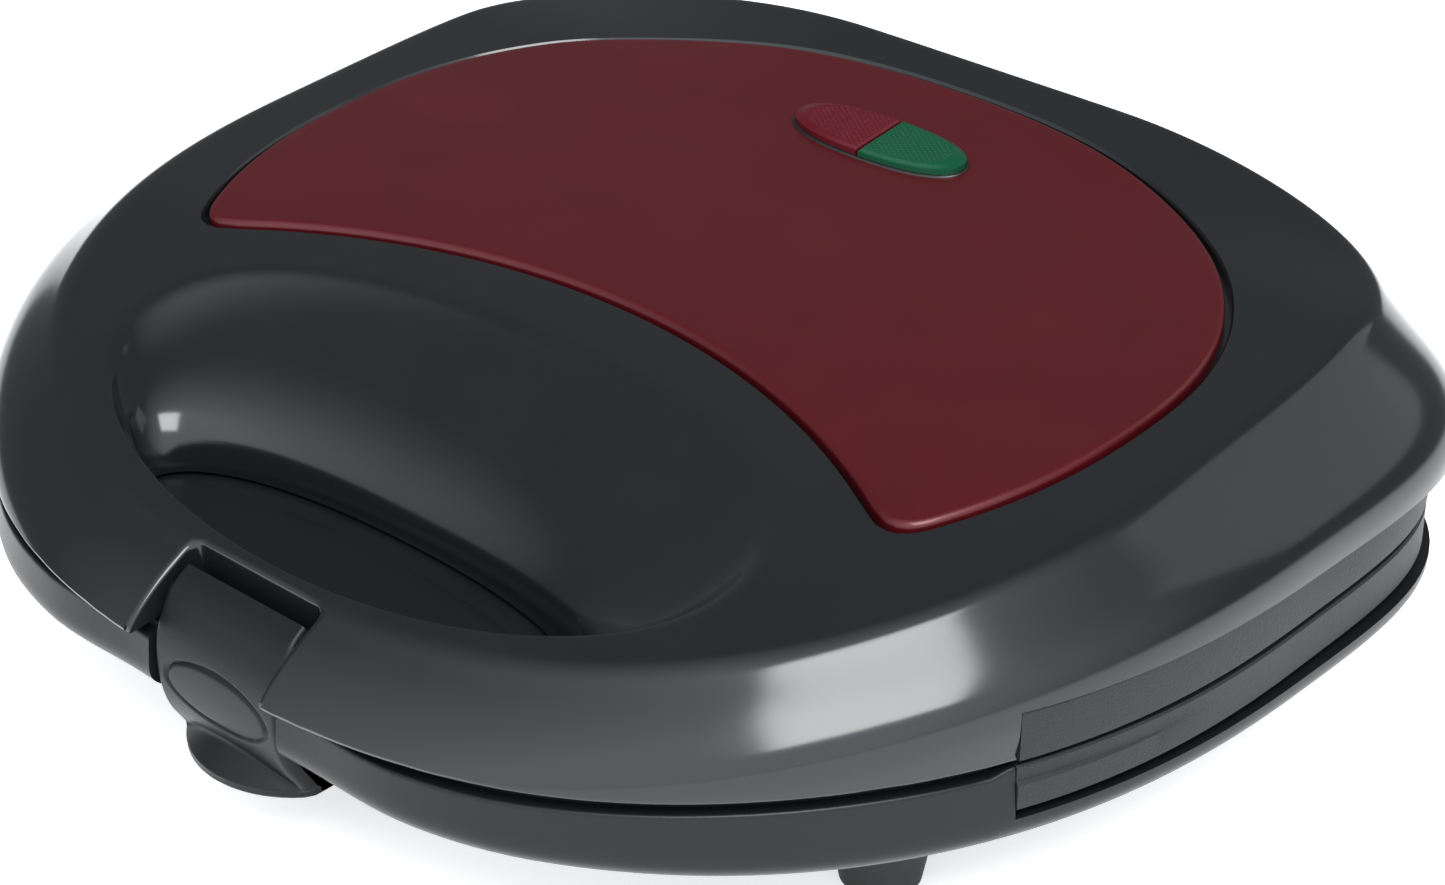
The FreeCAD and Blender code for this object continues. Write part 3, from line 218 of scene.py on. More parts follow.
def closed_form(name, rings):
    """A closed mesh from stacked rings, with a point at each end."""
    count = len(rings[0])
    verts = np.concatenate(rings + [rings[0].mean(axis=0)[None], rings[-1].mean(axis=0)[None]])
    faces = quad_rows(len(rings), count, True)
    low = len(verts) - 2
    last = (len(rings) - 1) * count
    for s in range(count):
        n = (s + 1) % count
        faces.append((low, n, s))
        faces.append((low + 1, last + s, last + n))
    return mesh_object(name, verts, faces)


def swept(name, stations):
    """A closed mesh from cross sections along a path, with flat ends."""
    count = len(stations[0])
    faces = quad_rows(len(stations), count, True)
    last = (len(stations) - 1) * count
    faces.append(tuple(range(count)))
    faces.append(tuple(last + s for s in reversed(range(count))))
    return mesh_object(name, np.concatenate(stations), faces)


def slab_faces(columns, rows):
    """Faces of a slab: a grid of points, the same grid below it, and the walls between."""
    faces = quad_rows(columns, rows, False)
    size = columns * rows
    faces += [tuple(i + size for i in reversed(face)) for face in faces]
    edge = [c * rows for c in range(columns)] + [(columns - 1) * rows + r for r in range(1, rows)]
    edge += [c * rows + rows - 1 for c in reversed(range(columns - 1))] + list(reversed(range(1, rows - 1)))
    return faces + [(a, b, b + size, a + size) for a, b in zip(edge, edge[1:] + edge[:1])]


def apply_boolean(obj, tool, operation):
    """Joins a tool to a piece or cuts the piece by it, and removes the tool."""
    mod = obj.modifiers.new("shape", "BOOLEAN")
    mod.operation = operation
    mod.solver = "EXACT"
    mod.object = tool
    bpy.context.view_layer.objects.active = obj
    bpy.ops.object.modifier_apply(modifier=mod.name)
    bpy.data.objects.remove(tool, do_unlink=True)


def cut(obj, tool):
    apply_boolean(obj, tool, "DIFFERENCE")


def smooth(obj, angle=28):
    """Smooth shading, with edges sharper than the angle in degrees kept."""
    for other in bpy.context.selected_objects:
        other.select_set(False)
    bpy.context.view_layer.objects.active = obj
    obj.select_set(True)
    bpy.ops.object.shade_smooth_by_angle(angle=math.radians(angle))


def box_tool(x0, x1, y0, y1, z0, z1):
    verts = [(x, y, z) for z in (z0, z1) for y in (y0, y1) for x in (x0, x1)]
    faces = [(0, 2, 3, 1), (4, 5, 7, 6), (0, 1, 5, 4), (2, 6, 7, 3), (0, 4, 6, 2), (1, 3, 7, 5)]
    return mesh_object("box_tool", verts, faces)


def turned(name, profile, centre, along, count=64):
    """A turned form: (distance along, radius) pairs about an axis, X, Y or Z."""
    angle = np.arange(count) * 2 * math.pi / count
    axis = np.eye(3)[along]
    side, up = np.eye(3)[(along + 1) % 3], np.eye(3)[(along + 2) % 3]
    spokes = np.cos(angle)[:, None] * side + np.sin(angle)[:, None] * up
    return closed_form(name, [np.asarray(centre) + axis * at + spokes * radius for at, radius in profile])


def finish_piece(obj, body, material, angle=28, node=None):
    """Shades a piece, gives it its material and hangs it on its body."""
    smooth(obj, angle)
    obj.data.materials.clear()
    obj.data.materials.append(material)
    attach(obj, body)
    if node:
        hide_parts(node)
    return obj


# The lid


def flank_rings():
    """Control rings of the lid's flank, from under the seam to beyond the crease."""
    foot_level, wide_level, wide_fall, fall_power = -8.6, 12, 15, 1.5
    swell_most, swell_run, run_on = 1.2, 12, 0.6
    wide = case_outline(FLANK_OUT, NOSE_OUT, rear_round=FLANK_REAR_ROUND)
    crease = oval(CREASE_Y, HALF_WIDTH - CREASE_INSET, CREASE_FRONT, CREASE_REAR,
                  CREASE_FRONT_ROUND, CREASE_REAR_ROUND)
    top = top_surface(crease[:, 0], crease[:, 1])
    side_top, front_top = top_height(CREASE_Y), top_height(CREASE_FRONT)
    share = np.clip((side_top - top) / (side_top - front_top), 0, 1)
    low = np.column_stack([case_outline(), np.full(ROUNDS, foot_level)])
    out = np.column_stack([wide, wide_level - wide_fall * share ** fall_power])
    edge = np.column_stack([crease, top])
    run = edge - out
    swell = run * np.array([-1, -1, 0])
    swell[:, 2] = (run[:, 0] ** 2 + run[:, 1] ** 2) / np.maximum(run[:, 2], 1)
    swell /= np.linalg.norm(swell, axis=1)[:, None]
    rise = swell_most * np.minimum(1, run[:, 2] / swell_run)
    belly = (out + edge) / 2 + swell * rise[:, None]
    return np.stack([low, (low + out) / 2, out, belly, edge, edge + run * run_on])


def lid_rings():
    """Rings of the closed lid form: underside, flank, rounded crease and top."""
    crease_ring, crease_roll, edge_roll = 4, 2.2, 0.7
    rows, fine_rows, top_steps, under_steps = 44, 240, 60, 12
    control = flank_rings()
    knots = ring_knots(control)
    dense = spline(knots, control, np.linspace(knots[0], knots[crease_ring], fine_rows))
    flank = np.zeros((rows, ROUNDS, 3))
    for s in range(ROUNDS):
        track = dense[:, s]
        start = np.argmax(track[:, 2] > seam_height(track[:, 1]) + edge_roll)
        path = track[start:]
        stop = arc_lengths(path)[-1] - crease_roll
        flank[:, s] = resampled(path, np.linspace(0, stop, rows))
    edge = control[crease_ring]
    centre = np.array([0, CREASE_Y, 0])
    inward = (centre - edge) * np.array([1, 1, 0])
    inward /= np.linalg.norm(inward, axis=1)[:, None]
    top_in = edge + inward * crease_roll
    top_in[:, 2] = top_surface(top_in[:, 0], top_in[:, 1])
    rings = list(flank) + bend_between(flank[-1], edge, top_in, 6)
    for i in range(1, top_steps):
        ring = centre + (top_in - centre) * (1 - i / top_steps)
        ring[:, 2] = top_surface(ring[:, 0], ring[:, 1])
        rings.append(ring)
    corner = flank[0].copy()
    corner[:, 2] = seam_height(corner[:, 1])
    inner = corner + inward * edge_roll
    inner[:, 2] = seam_height(inner[:, 1])
    below = bend_between(flank[0], corner, inner, 4)
    for i in range(1, under_steps):
        ring = centre + (inner - centre) * (1 - i / under_steps)
        ring[:, 2] = seam_height(ring[:, 1])
        below.append(ring)
    return below[::-1] + rings


def scoop_rings():
    """The scoop's own form: a steep throat that opens into a sloped bowl."""
    front, rear, floor_rear = FRONT_Y + 17.5, FRONT_Y + 80, FRONT_Y + 49
    rim_low, rim_high = top_height(front), top_height(rear)
    tilt = math.atan2(rim_high - rim_low, rear - front)
    middle = (rim_low + rim_high) / 2
    # Half width, front, rear, level of the middle and slope of each ring
    spec = [
        (47, front, floor_rear, -20, 0),
        (50, front, floor_rear + 2, 8, tilt / 2),
        (64, front, rear, middle, tilt),
        (73, front - 2, rear + 12, middle + 9, tilt),
    ]
    rings = []
    for half, y0, y1, lift, slope in spec:
        mid = (y0 + y1) / 2
        pts = oval(0, half, y0 - mid, y1 - mid, SCOOP_ROUND, SCOOP_ROUND)
        rings.append(np.column_stack([pts[:, 0], mid + pts[:, 1], lift + pts[:, 1] * math.tan(slope)]))
    control = np.stack(rings)
    knots = ring_knots(control)
    return spline(knots, control, np.linspace(knots[0], knots[-1], 300))


def scoop_tool():
    """The scoop as a cutting form whose rim rolls over into the top face."""
    rows, above = 44, 14
    front_roll, more_roll, roll_from, roll_to = 0.8, 2.2, -70, -50
    form = scoop_rings()
    wall = np.zeros((rows, ROUNDS, 3))
    corner, end = np.zeros((ROUNDS, 3)), np.zeros((ROUNDS, 3))
    centre = form[:, :, :2].mean(axis=(0, 1))
    for s in range(ROUNDS):
        track = form[:, s]
        path = track[:np.argmax(track[:, 2] > top_height(track[:, 1])) + 1]
        roll = front_roll + more_roll * smooth_step(path[-1, 1], roll_from, roll_to)
        wall[:, s] = resampled(path, np.linspace(0, arc_lengths(path)[-1] - roll, rows))
        corner[s] = path[-1]
        out = path[-1, :2] - centre
        end[s, :2] = path[-1, :2] + out / np.linalg.norm(out) * roll
        end[s, 2] = top_height(end[s, 1]) - EDGE_OFF
    lift = end + np.array([0, 0, above])
    return closed_form("scoop_tool", list(wall) + bend_between(wall[-1], corner, end, 8) + [lift])


def radial_outline(field, centre, count, far=200.0, halvings=50):
    """Points round a centre where a field of the plane changes sign."""
    angle = np.arange(count) * 2 * math.pi / count + math.pi / 2
    ray = np.stack([np.cos(angle), np.sin(angle)], axis=1)
    low, high = np.zeros(count), np.full(count, far)
    for _ in range(halvings):
        mid = (low + high) / 2
        pts = centre + ray * mid[:, None]
        inside = field(pts[:, 0], pts[:, 1]) < 0
        low, high = np.where(inside, mid, low), np.where(inside, high, mid)
    return centre + ray * low[:, None]


def panel_outline(grow=0.0, blend=7.0):
    """The panel seen from above: an oval with a round bite out of its front, blended at the tips."""
    half, front, rear, mid = 90.8 + grow, -53.5, 92.5 + grow, 25.0
    bite_rear, bite_radius = 3.3, 140.5
    arc_y, arc_r = bite_rear - bite_radius, bite_radius - grow
    tiny, count = 1e-6, 480

    def field(x, y):
        reach = np.where(y > mid, rear - mid, mid - front)
        across, along = np.abs(x / half) ** PANEL_ROUND, np.abs((y - mid) / reach) ** PANEL_ROUND
        shape = (across + along) ** (1 / PANEL_ROUND)
        oval_side = (shape - 1) * np.hypot(x, y - mid) / np.maximum(shape, tiny)
        arc_side = arc_r - np.hypot(x, y - arc_y)
        spread = np.maximum(blend - np.abs(oval_side - arc_side), 0) / blend
        return np.maximum(oval_side, arc_side) + spread ** 2 * blend / 4

    return radial_outline(field, PANEL_CENTRE, count)


def on_top(points, lift):
    """Points of the plane laid on the top face, lifted off it."""
    return np.column_stack([points, top_surface(points[:, 0], points[:, 1]) + lift])


def inset_ring(points, depth):
    """Moves a closed outline inwards along its own normals."""
    ahead = np.roll(points, -1, axis=0) - np.roll(points, 1, axis=0)
    normal = np.stack([-ahead[:, 1], ahead[:, 0]], axis=1)
    return points + normal / np.linalg.norm(normal, axis=1)[:, None] * depth


def recess_tool(grow, depth):
    """The room that the panel sits in, with a mouth that flares a little."""
    steps, flare, flare_depth, above = 10, 0.35, 0.5, 20
    outline = panel_outline(grow)
    rings = [on_top(PANEL_CENTRE + (outline - PANEL_CENTRE) * i / steps, -depth) for i in range(1, steps)]
    mouth = inset_ring(outline, -flare)
    rings += [on_top(outline, -depth), on_top(outline, -flare_depth)]
    rings += [on_top(mouth, EDGE_OFF), on_top(mouth, above)]
    return closed_form("recess_tool", rings)


def notch_tool(lid, roll=1.1, back_roll=0.6):
    """The latch notch, with edges that roll over into the flank and the grip bar."""
    corner, before_front, back_zone = 2.0, 12, 0.5
    low_level, above, off_lid = -30.0, 30, -12.0
    ray_start, ray_down = 0.2, Vector((0, 0, -1))
    tree = BVHTree.FromObject(lid, bpy.context.evaluated_depsgraph_get())
    side = [(NOTCH_HALF, y) for y in np.linspace(FRONT_Y - before_front, NOTCH_BACK - corner, 60)]
    turn = [(NOTCH_HALF - corner + corner * math.cos(a), NOTCH_BACK - corner + corner * math.sin(a))
            for a in np.linspace(0, math.pi / 2, 8)[1:]]
    half_path = side + turn
    back = [(x, NOTCH_BACK) for x in np.linspace(half_path[-1][0], -half_path[-1][0], 40)[1:-1]]
    path = np.array(half_path + back + [(-x, y) for x, y in reversed(half_path)])
    ahead = np.gradient(path, axis=0)
    outward = np.stack([ahead[:, 1], -ahead[:, 0]], axis=1)
    outward /= np.linalg.norm(outward, axis=1)[:, None]
    reach = np.where(path[:, 1] > NOTCH_BACK - back_zone, back_roll, roll)[:, None]
    far_path = path + outward * reach

    def heights(points):
        found = []
        for x, y in points:
            hit = tree.ray_cast(Vector((x * MM, (y + SHIFT_Y) * MM, ray_start)), ray_down)[0]
            found.append(hit.z / MM - PART_Z if hit else off_lid)
        return np.array(found)

    level, far_level = heights(path), heights(far_path)
    start = np.column_stack([path, level - reach[:, 0]])
    knee = np.column_stack([path, level])
    end = np.column_stack([far_path, far_level - EDGE_OFF])
    foot = np.column_stack([path, np.full(len(path), low_level)])
    lift = end + np.array([0, 0, above])
    return closed_form("notch_tool", [foot, start] + bend_between(start, knee, end, 6) + [lift])


def band_path(count=240, fine_count=6000, past_side=0.9):
    """The case outline from the right front end of the bands round the back to the left one."""
    fine = case_outline(angle=np.linspace(-past_side, math.pi + past_side, fine_count))
    fine = fine[fine[:, 1] >= BAND_Y]
    path = resampled(fine, np.linspace(0, arc_lengths(fine)[-1], count))
    ahead = np.gradient(path, axis=0)
    outward = np.stack([ahead[:, 1], -ahead[:, 0]], axis=1)
    return path, outward / np.linalg.norm(outward, axis=1)[:, None]


def band_form(name, section, reach=0.0):
    """A strip along the bands; section gives (outset, height) pairs for a place on the path."""
    path, outward = band_path()
    path = path.copy()
    path[0, 1] -= reach
    path[-1, 1] -= reach
    stations = []
    for (x, y), (nx, ny) in zip(path, outward):
        stations.append(np.array([(x + nx * out, y + ny * out, z) for out, z in section(y)]))
    return swept(name, stations)


def proud(y):
    """How far a band stands out from the case outline: most at its front end."""
    most, fall, fall_from, fall_to = 1.5, 1.3, -30, 60
    return most - fall * smooth_step(y, fall_from, fall_to)


def lid_band_section(y):
    """Section of the lid's band, eased below and rounded above."""
    out, low, high, ease, edge = proud(y), 0.35, BAND_TOP, 0.3, 0.45
    rounded = [(out - edge + edge * math.cos(a), high - edge + edge * math.sin(a))
               for a in np.linspace(0, math.pi / 2, 5)]
    return [(BAND_ROOT, low), (out - ease, low), (out, low + ease)] + rounded + [(BAND_ROOT, high)]


def base_band_section(y):
    """Section of the base's band, with a step near its front end."""
    thinner, low_ease, top_ease, top = 0.1, 0.25, 0.35, -SEAM_GAP
    step_most, step_from, step_to, step_low, step_high = 0.55, -25, 15, -3.9, -3.5
    out = proud(y) - thinner
    step = step_most * (1 - smooth_step(y, step_from, step_to))
    low_edge = [(BAND_ROOT, BAND_LOW), (out - low_ease, BAND_LOW), (out, BAND_LOW + low_ease)]
    high_edge = [(out - step, top - top_ease), (out - step - top_ease, top), (BAND_ROOT, top)]
    return low_edge + [(out, step_low), (out - step, step_high)] + high_edge


def pocket_tool(side):
    """The room behind a plate: upright at the flange, then drawn in, as (outset, height) pairs."""
    if side > 0:
        levels = [(1, -6), (1, 5), (-2, 12), (-10, 17)]
    else:
        levels = [(1, 8), (1, -6), (-2, -14), (-22, -24)]
    rings = [np.column_stack([plate_outline(grow), np.full(ROUNDS, float(z))]) for grow, z in levels]
    return closed_form("pocket_tool", rings)


def make_knuckle(name, x0, x1, side, body, material):
    """A hinge knuckle with rounded ends and its arm into the housing."""
    edge, count, radius = 0.5, 64, KNUCKLE_RADIUS
    arm_ease, arm_root, arm_end, arm_gap = 0.2, REAR_Y - 6, HINGE_Y - 3.2, 1.0
    length = x1 - x0
    profile = [(0, PIN_BORE), (0, radius - edge), (edge, radius),
               (length - edge, radius), (length, radius - edge), (length, PIN_BORE)]
    angle = np.arange(count) * 2 * math.pi / count
    along, up = np.cos(angle), np.sin(angle)
    rings = [np.column_stack([np.full(count, x0 + at), HINGE_Y + r * along, r * up]) for at, r in profile]
    faces = quad_rows(len(rings), count, True)
    last = (len(rings) - 1) * count
    faces += [(last + s, last + (s + 1) % count, (s + 1) % count, s) for s in range(count)]
    drum = mesh_object(name, np.concatenate(rings), faces)
    low, high = sorted((side * arm_gap, side * radius))
    arm = box_tool(x0 + arm_ease, x1 - arm_ease, arm_root, arm_end, low, high)
    apply_boolean(drum, arm, "UNION")
    return finish_piece(drum, body, material)


def make_lid(material, band_material):
    """The lid's shell, its band and its two knuckles."""
    rebate_low, rebate_top = -12, BAND_TOP + 0.05
    lid = closed_form("lid_shell", lid_rings())
    cut(lid, scoop_tool())
    cut(lid, recess_tool(PANEL_GAP, RECESS_DEPTH))
    cut(lid, notch_tool(lid))
    rebate = [(REBATE_ROOT, rebate_low), (REBATE_OUT, rebate_low),
              (REBATE_OUT, rebate_top), (REBATE_ROOT, rebate_top)]
    cut(lid, band_form("rebate_tool", lambda y: rebate, BAND_REACH))
    cut(lid, pocket_tool(1))
    finish_piece(lid, "lid", material, node="upper_housing")
    band = band_form("lid_band", lid_band_section)
    finish_piece(band, "lid", band_material)
    for side, x0 in (("left", -71.5), ("right", 60.5)):
        make_knuckle(f"lid_knuckle_{side}", x0, x0 + LID_KNUCKLE, 1, "lid", material)


def make_panel(material):
    """The panel follows the top face and stands a little proud, with a rounded edge."""
    stand, depth, edge = 0.7, 2.1, 1.2
    under_steps, edge_steps, top_steps = 6, 10, 48
    outline = panel_outline()
    spokes = outline - PANEL_CENTRE
    rings = [on_top(PANEL_CENTRE + spokes * i / under_steps, -depth) for i in range(1, under_steps + 1)]
    rings.append(on_top(outline, stand - edge))
    for angle in np.linspace(0, math.pi / 2, edge_steps)[1:]:
        ring = inset_ring(outline, edge * (1 - math.cos(angle)))
        rings.append(on_top(ring, stand - edge + edge * math.sin(angle)))
    inner = inset_ring(outline, edge)
    for i in range(1, top_steps):
        rings.append(on_top(PANEL_CENTRE + (inner - PANEL_CENTRE) * (1 - i / top_steps), stand))
    panel = closed_form("panel", rings)
    finish_piece(panel, "lid", material, angle=40, node="top_panel")


def lens_half_width(x):
    """Half width of the two-colour lens along its length, which tapers to rounded ends."""
    return LENS_WIDTH * np.clip(1 - np.abs(x / LENS_LENGTH) ** LENS_ROUND, 0, 1) ** (1 / LENS_ROUND)


def make_lens(name, side, material, slot):
    """One half of the lens: a cushion with a fine field of prisms and upright walls."""
    columns, rows, gap, thin = 150, 110, 0.25, 0.05
    rise, edge_drop, edge_width, crown, foot = 2.5, 0.5, 0.9, 0.1, 1.5
    pitch, prism, skew, prism_from, prism_to, end_slope = 1.5, 0.2, 1.5, 0.7, 1.2, 1.6
    along, across = np.meshgrid(np.linspace(0, 1, columns), np.linspace(-1, 1, rows), indexing="ij")
    x = gap + (LENS_LENGTH - gap) * np.sin(along * math.pi / 2)
    y = across * np.maximum(lens_half_width(x), thin)
    ends, sides = np.abs(x / LENS_LENGTH) ** LENS_ROUND, np.abs(y / LENS_WIDTH) ** LENS_ROUND
    inside = 1 - (ends + sides) ** (1 / LENS_ROUND)
    rim = np.minimum(inside * LENS_WIDTH, (x - gap) * end_slope)
    cushion = rise - edge_drop * (1 - smooth_step(rim, 0, edge_width)) - crown * (y / LENS_WIDTH) ** 2
    u, v = (x + y * skew) / pitch, (x - y * skew) / pitch
    peak = 1 - np.maximum(np.abs(u - np.floor(u) - 0.5), np.abs(v - np.floor(v) - 0.5)) * 2
    z = cushion + prism * (peak - 0.5) * smooth_step(rim, prism_from, prism_to)
    place = LENS_Y + y
    top = np.stack([side * x, place, top_height(place) + z], axis=2)
    low = np.stack([side * x, place, top_height(place) - foot], axis=2)
    verts = np.concatenate([top.reshape(-1, 3), low.reshape(-1, 3)])
    lens = mesh_object(name, verts, slab_faces(columns, rows))
    finish_piece(lens, "lid", material, angle=12, node=slot)


def make_lens_rim(material):
    """The dark rim that the lens stands in, as (outset, height) pairs round it; its black is partly the rim's
    own colour and partly painted shade for the shadow gap round the lens and the lens's shaded side walls.
    """
    count = 200
    section = ((-0.3, 0.3), (0.55, 0.3), (0.6, 0.8), (0.45, 1.0), (0.1, 1.1), (-0.3, 1.0))
    angle = np.arange(count) * 2 * math.pi / count
    front, rear = LENS_Y - LENS_WIDTH, LENS_Y + LENS_WIDTH
    core = oval(LENS_Y, LENS_LENGTH, front, rear, LENS_ROUND, LENS_ROUND, angle)
    rings = [on_top(inset_ring(core, -out), lift) for out, lift in section]
    total = len(rings) * count
    faces = [tuple(i % total for i in face) for face in quad_rows(len(rings) + 1, count, True)]
    rim = mesh_object("lens_rim", np.concatenate(rings), faces)
    finish_piece(rim, "lid", material, angle=60)


# The latch


def latch_face(z):
    """Front face of the latch: its place front to back at each height."""
    heights = np.array([-26, -22, -18, -15.5, -12, -8, -3, 1.3, 4.5, LATCH_TOP])
    places = np.array([-80.2, -81.4, -83.8, -84.8, -85.5, -85.7, -85.0, -83.0, -80.4, -78.2])
    return spline(heights, places, z)


def latch_track(x):
    """Outer profile of the latch at one place across it, from its top edge to the lip's underside."""
    lip_y, lip_r, lip_top, lip_low, lip_back = -68.9, 18.3, -22.4, -24.0, -77.6
    cone_r, cone_height, sharpness = 13.9, 4.7, 3
    edge_in, edge_drop, low_ease, low_in = 0.1, 0.5, 0.4, 0.5
    z = np.linspace(LATCH_TOP, lip_top, 400)
    face = np.stack([latch_face(z), z], axis=1)
    reach = lip_r - (z - lip_top) * (lip_r - cone_r) / cone_height
    lip = lip_y - np.sqrt(np.maximum(reach ** 2 - x * x, 0))
    lip = np.where(reach > abs(x), lip, 0)
    face[:, 0] = -np.logaddexp(-face[:, 0] * sharpness, -lip * sharpness) / sharpness
    edge_y = lip_y - math.sqrt(lip_r ** 2 - x * x)
    under = [(edge_y + edge_in, lip_top - edge_drop), (edge_y + edge_in, lip_low + low_ease),
             (edge_y + low_in, lip_low), (lip_back, lip_low)]
    return np.concatenate([face, np.array(under)])


def latch_groove(grid):
    """Depth of the oval groove at each point of the latch's face."""
    half_length, half_height, middle_z = 11.7, 5.0, -10.2
    depth, width, face_from, tiny = 0.55, 0.42, -80, 0.05
    x, z = grid[:, :, 0], grid[:, :, 2] - middle_z
    centre = np.hypot(x / half_length, z / half_height)
    gap = (centre - 1) * np.minimum(half_length, np.hypot(x, z) / np.maximum(centre, tiny))
    groove = depth * np.exp(-(gap / width) ** 2)
    return np.where(grid[:, :, 1] < face_from, groove, 0)


def make_latch(material):
    """The latch: a curved face with an oval groove and a half-round finger lip."""
    rows, columns, track_inset = 190, 130, 0.3
    side_round, side_share = 1.2, 0.97
    thick, thin, back_limit, top_back, back_top = 2.6, 0.4, -81.6, -77.0, 4.6
    corner_low, corner_share = 2.0, 2 / 3
    across = np.linspace(-LATCH_HALF, LATCH_HALF, columns)
    grid = np.zeros((columns, rows, 3))
    for c, x in enumerate(across):
        track = latch_track(min(abs(x), LATCH_HALF - track_inset) * (1 if x > 0 else -1))
        path = resampled(track, np.linspace(0, arc_lengths(track)[-1], rows))
        grid[c] = np.column_stack([np.full(rows, x), path])
    side = np.clip((np.abs(across) - (LATCH_HALF - side_round)) / side_round, 0, 1)
    drawn = side_round * (1 - np.sqrt(1 - side ** 2 * side_share))
    front = grid.copy()
    front[:, :, 1] += latch_groove(grid) + drawn[:, None]
    back = grid.copy()
    back[:, :, 1] = np.maximum(back[:, :, 1] + thick, back_limit)
    back[:, :, 1] = np.where(back[:, :, 2] > 0, np.minimum(back[:, :, 1], top_back), back[:, :, 1])
    back[:, :, 1] = np.maximum(back[:, :, 1], front[:, :, 1] + thin)
    back[:, :, 2] = np.minimum(back[:, :, 2], back_top)
    for sheet in (front, back):
        above = np.maximum(sheet[:, :, 2] - corner_low, 0)
        sheet[:, :, 2] -= above * (side[:, None] ** 2 * corner_share)
    verts = np.concatenate([front.reshape(-1, 3), back.reshape(-1, 3)])
    latch = mesh_object("latch_shell", verts, slab_faces(columns, rows))
    finish_piece(latch, "latch", material, angle=40, node="latch")
    make_latch_back(material)


def make_latch_back(material):
    """The latch's barrel round its pin, and the hook that holds the base."""
    length, bore, radius, edge = 28.4, 1.3, 2.6, 0.3
    profile = [(0, bore), (0, radius - edge), (edge, radius),
               (length - edge, radius), (length, radius - edge), (length, bore)]
    barrel = turned("latch_barrel", profile, (-length / 2, FRONT_Y + 10.8, 1.2), 0)
    finish_piece(barrel, "latch", material)
    hook_half, hook_front, hook_reach, hook_low, hook_top = 12.4, -82.5, 1.4, -13.7, -11.1
    hook = box_tool(-hook_half, hook_half, hook_front, CATCH_Y + hook_reach, hook_low, hook_top)
    hook.name = "latch_hook"
    finish_piece(hook, "latch", material)


# The base


def hull_rings():
    """Rings of the closed base form, from the middle of the bottom up over the rim to the deck."""
    rows, fine_rows, bottom_rows, deck_steps = 60, 400, 6, 14
    edge, lip_in, lip_least, seam_blend = 0.7, 2.5, 0.01, 3
    # Height and outset of each control ring
    steps = [(10.0, 0.0), (-8.5, 1.2), (-11.5, 1.2), (-16.05, -4.3), (-20.6, -12.2), (-25.15, -22.3),
             (HULL_LOW, -FLOOR_INSET)]
    control = np.stack([np.column_stack([case_outline(grow), np.full(ROUNDS, z)]) for z, grow in steps])
    knots = ring_knots(control)
    dense = spline(knots, control, np.linspace(knots[0], knots[-1], fine_rows))
    outer = case_outline()
    gap = SEAM_GAP + FRONT_SEAM * (1 - smooth_step(outer[:, 1], BAND_Y - seam_blend, BAND_Y))
    wall = np.zeros((rows, ROUNDS, 3))
    for s in range(ROUNDS):
        track = dense[:, s]
        rim = seam_height(track[:, 1]) - gap[s] - edge
        path = track[np.argmax(track[:, 2] < rim):]
        wall[:, s] = resampled(path, np.linspace(arc_lengths(path)[-1], 0, rows))
    floor_edge = case_outline(-FLOOR_INSET)
    bottom = [np.column_stack([floor_edge * f + np.array([0, (1 - f) * WIDEST_Y]), np.full(ROUNDS, HULL_LOW)])
              for f in np.linspace(0.1, 0.9, bottom_rows)]
    top = wall[-1]
    inward = np.column_stack([case_outline(-2) - case_outline(0), np.zeros(ROUNDS)])
    inward /= np.linalg.norm(inward, axis=1)[:, None]
    level = (seam_height(top[:, 1]) - gap)[:, None]
    corner = np.column_stack([top[:, :2], level])
    inner = corner + inward * edge
    lip_foot = np.column_stack([(corner + inward * lip_in)[:, :2], level])
    lip_top = lip_foot.copy()
    lip_top[:, 2] = np.maximum(level[:, 0] + lip_least, seam_height(lip_foot[:, 1]) - SEAM_GAP)
    rings = bottom + list(wall) + bend_between(top, corner, inner, 5) + [lip_foot, lip_top]
    centre = np.array([0, WIDEST_Y, 0])
    for i in range(1, deck_steps):
        ring = centre + (lip_top - centre) * (1 - i / deck_steps)
        ring[:, 2] = seam_height(ring[:, 1]) - SEAM_GAP
        rings.append(ring)
    return [set_back(ring) for ring in rings]


def set_back(ring):
    """Draws the front of the base back beside the latch, so that the latch stands flush with it."""
    wide_depth, wide_from, wide_to = 3, 18, 62
    near_depth, near_from, near_to = 2, 15, 42
    front_from, front_to = 60, 88
    ring = ring.copy()
    across = np.abs(ring[:, 0])
    wide = wide_depth * (1 - smooth_step(across, wide_from, wide_to))
    near = near_depth * (1 - smooth_step(across, near_from, near_to))
    ring[:, 1] += (wide + near) * smooth_step(-ring[:, 1], front_from, front_to)
    return ring


def deck_pad(material):
    """The raised floor seen through the grip scoop, as (inset, height) pairs."""
    half, front, rear = 45.1, FRONT_Y + 19.4, FRONT_Y + 40.6
    mid = (front + rear) / 2
    rings = []
    for inset, z in ((8, -4), (0, -4), (0, 0.1), (0.3, 0.45), (0.8, 0.6), (4, 0.62), (8, 0.62)):
        pts = oval(0, half - inset, front - mid + inset, rear - mid - inset, SCOOP_ROUND, SCOOP_ROUND)
        rings.append(np.column_stack([pts[:, 0], mid + pts[:, 1], np.full(ROUNDS, float(z))]))
    pad = closed_form("deck_pad", rings)
    finish_piece(pad, "base", material)


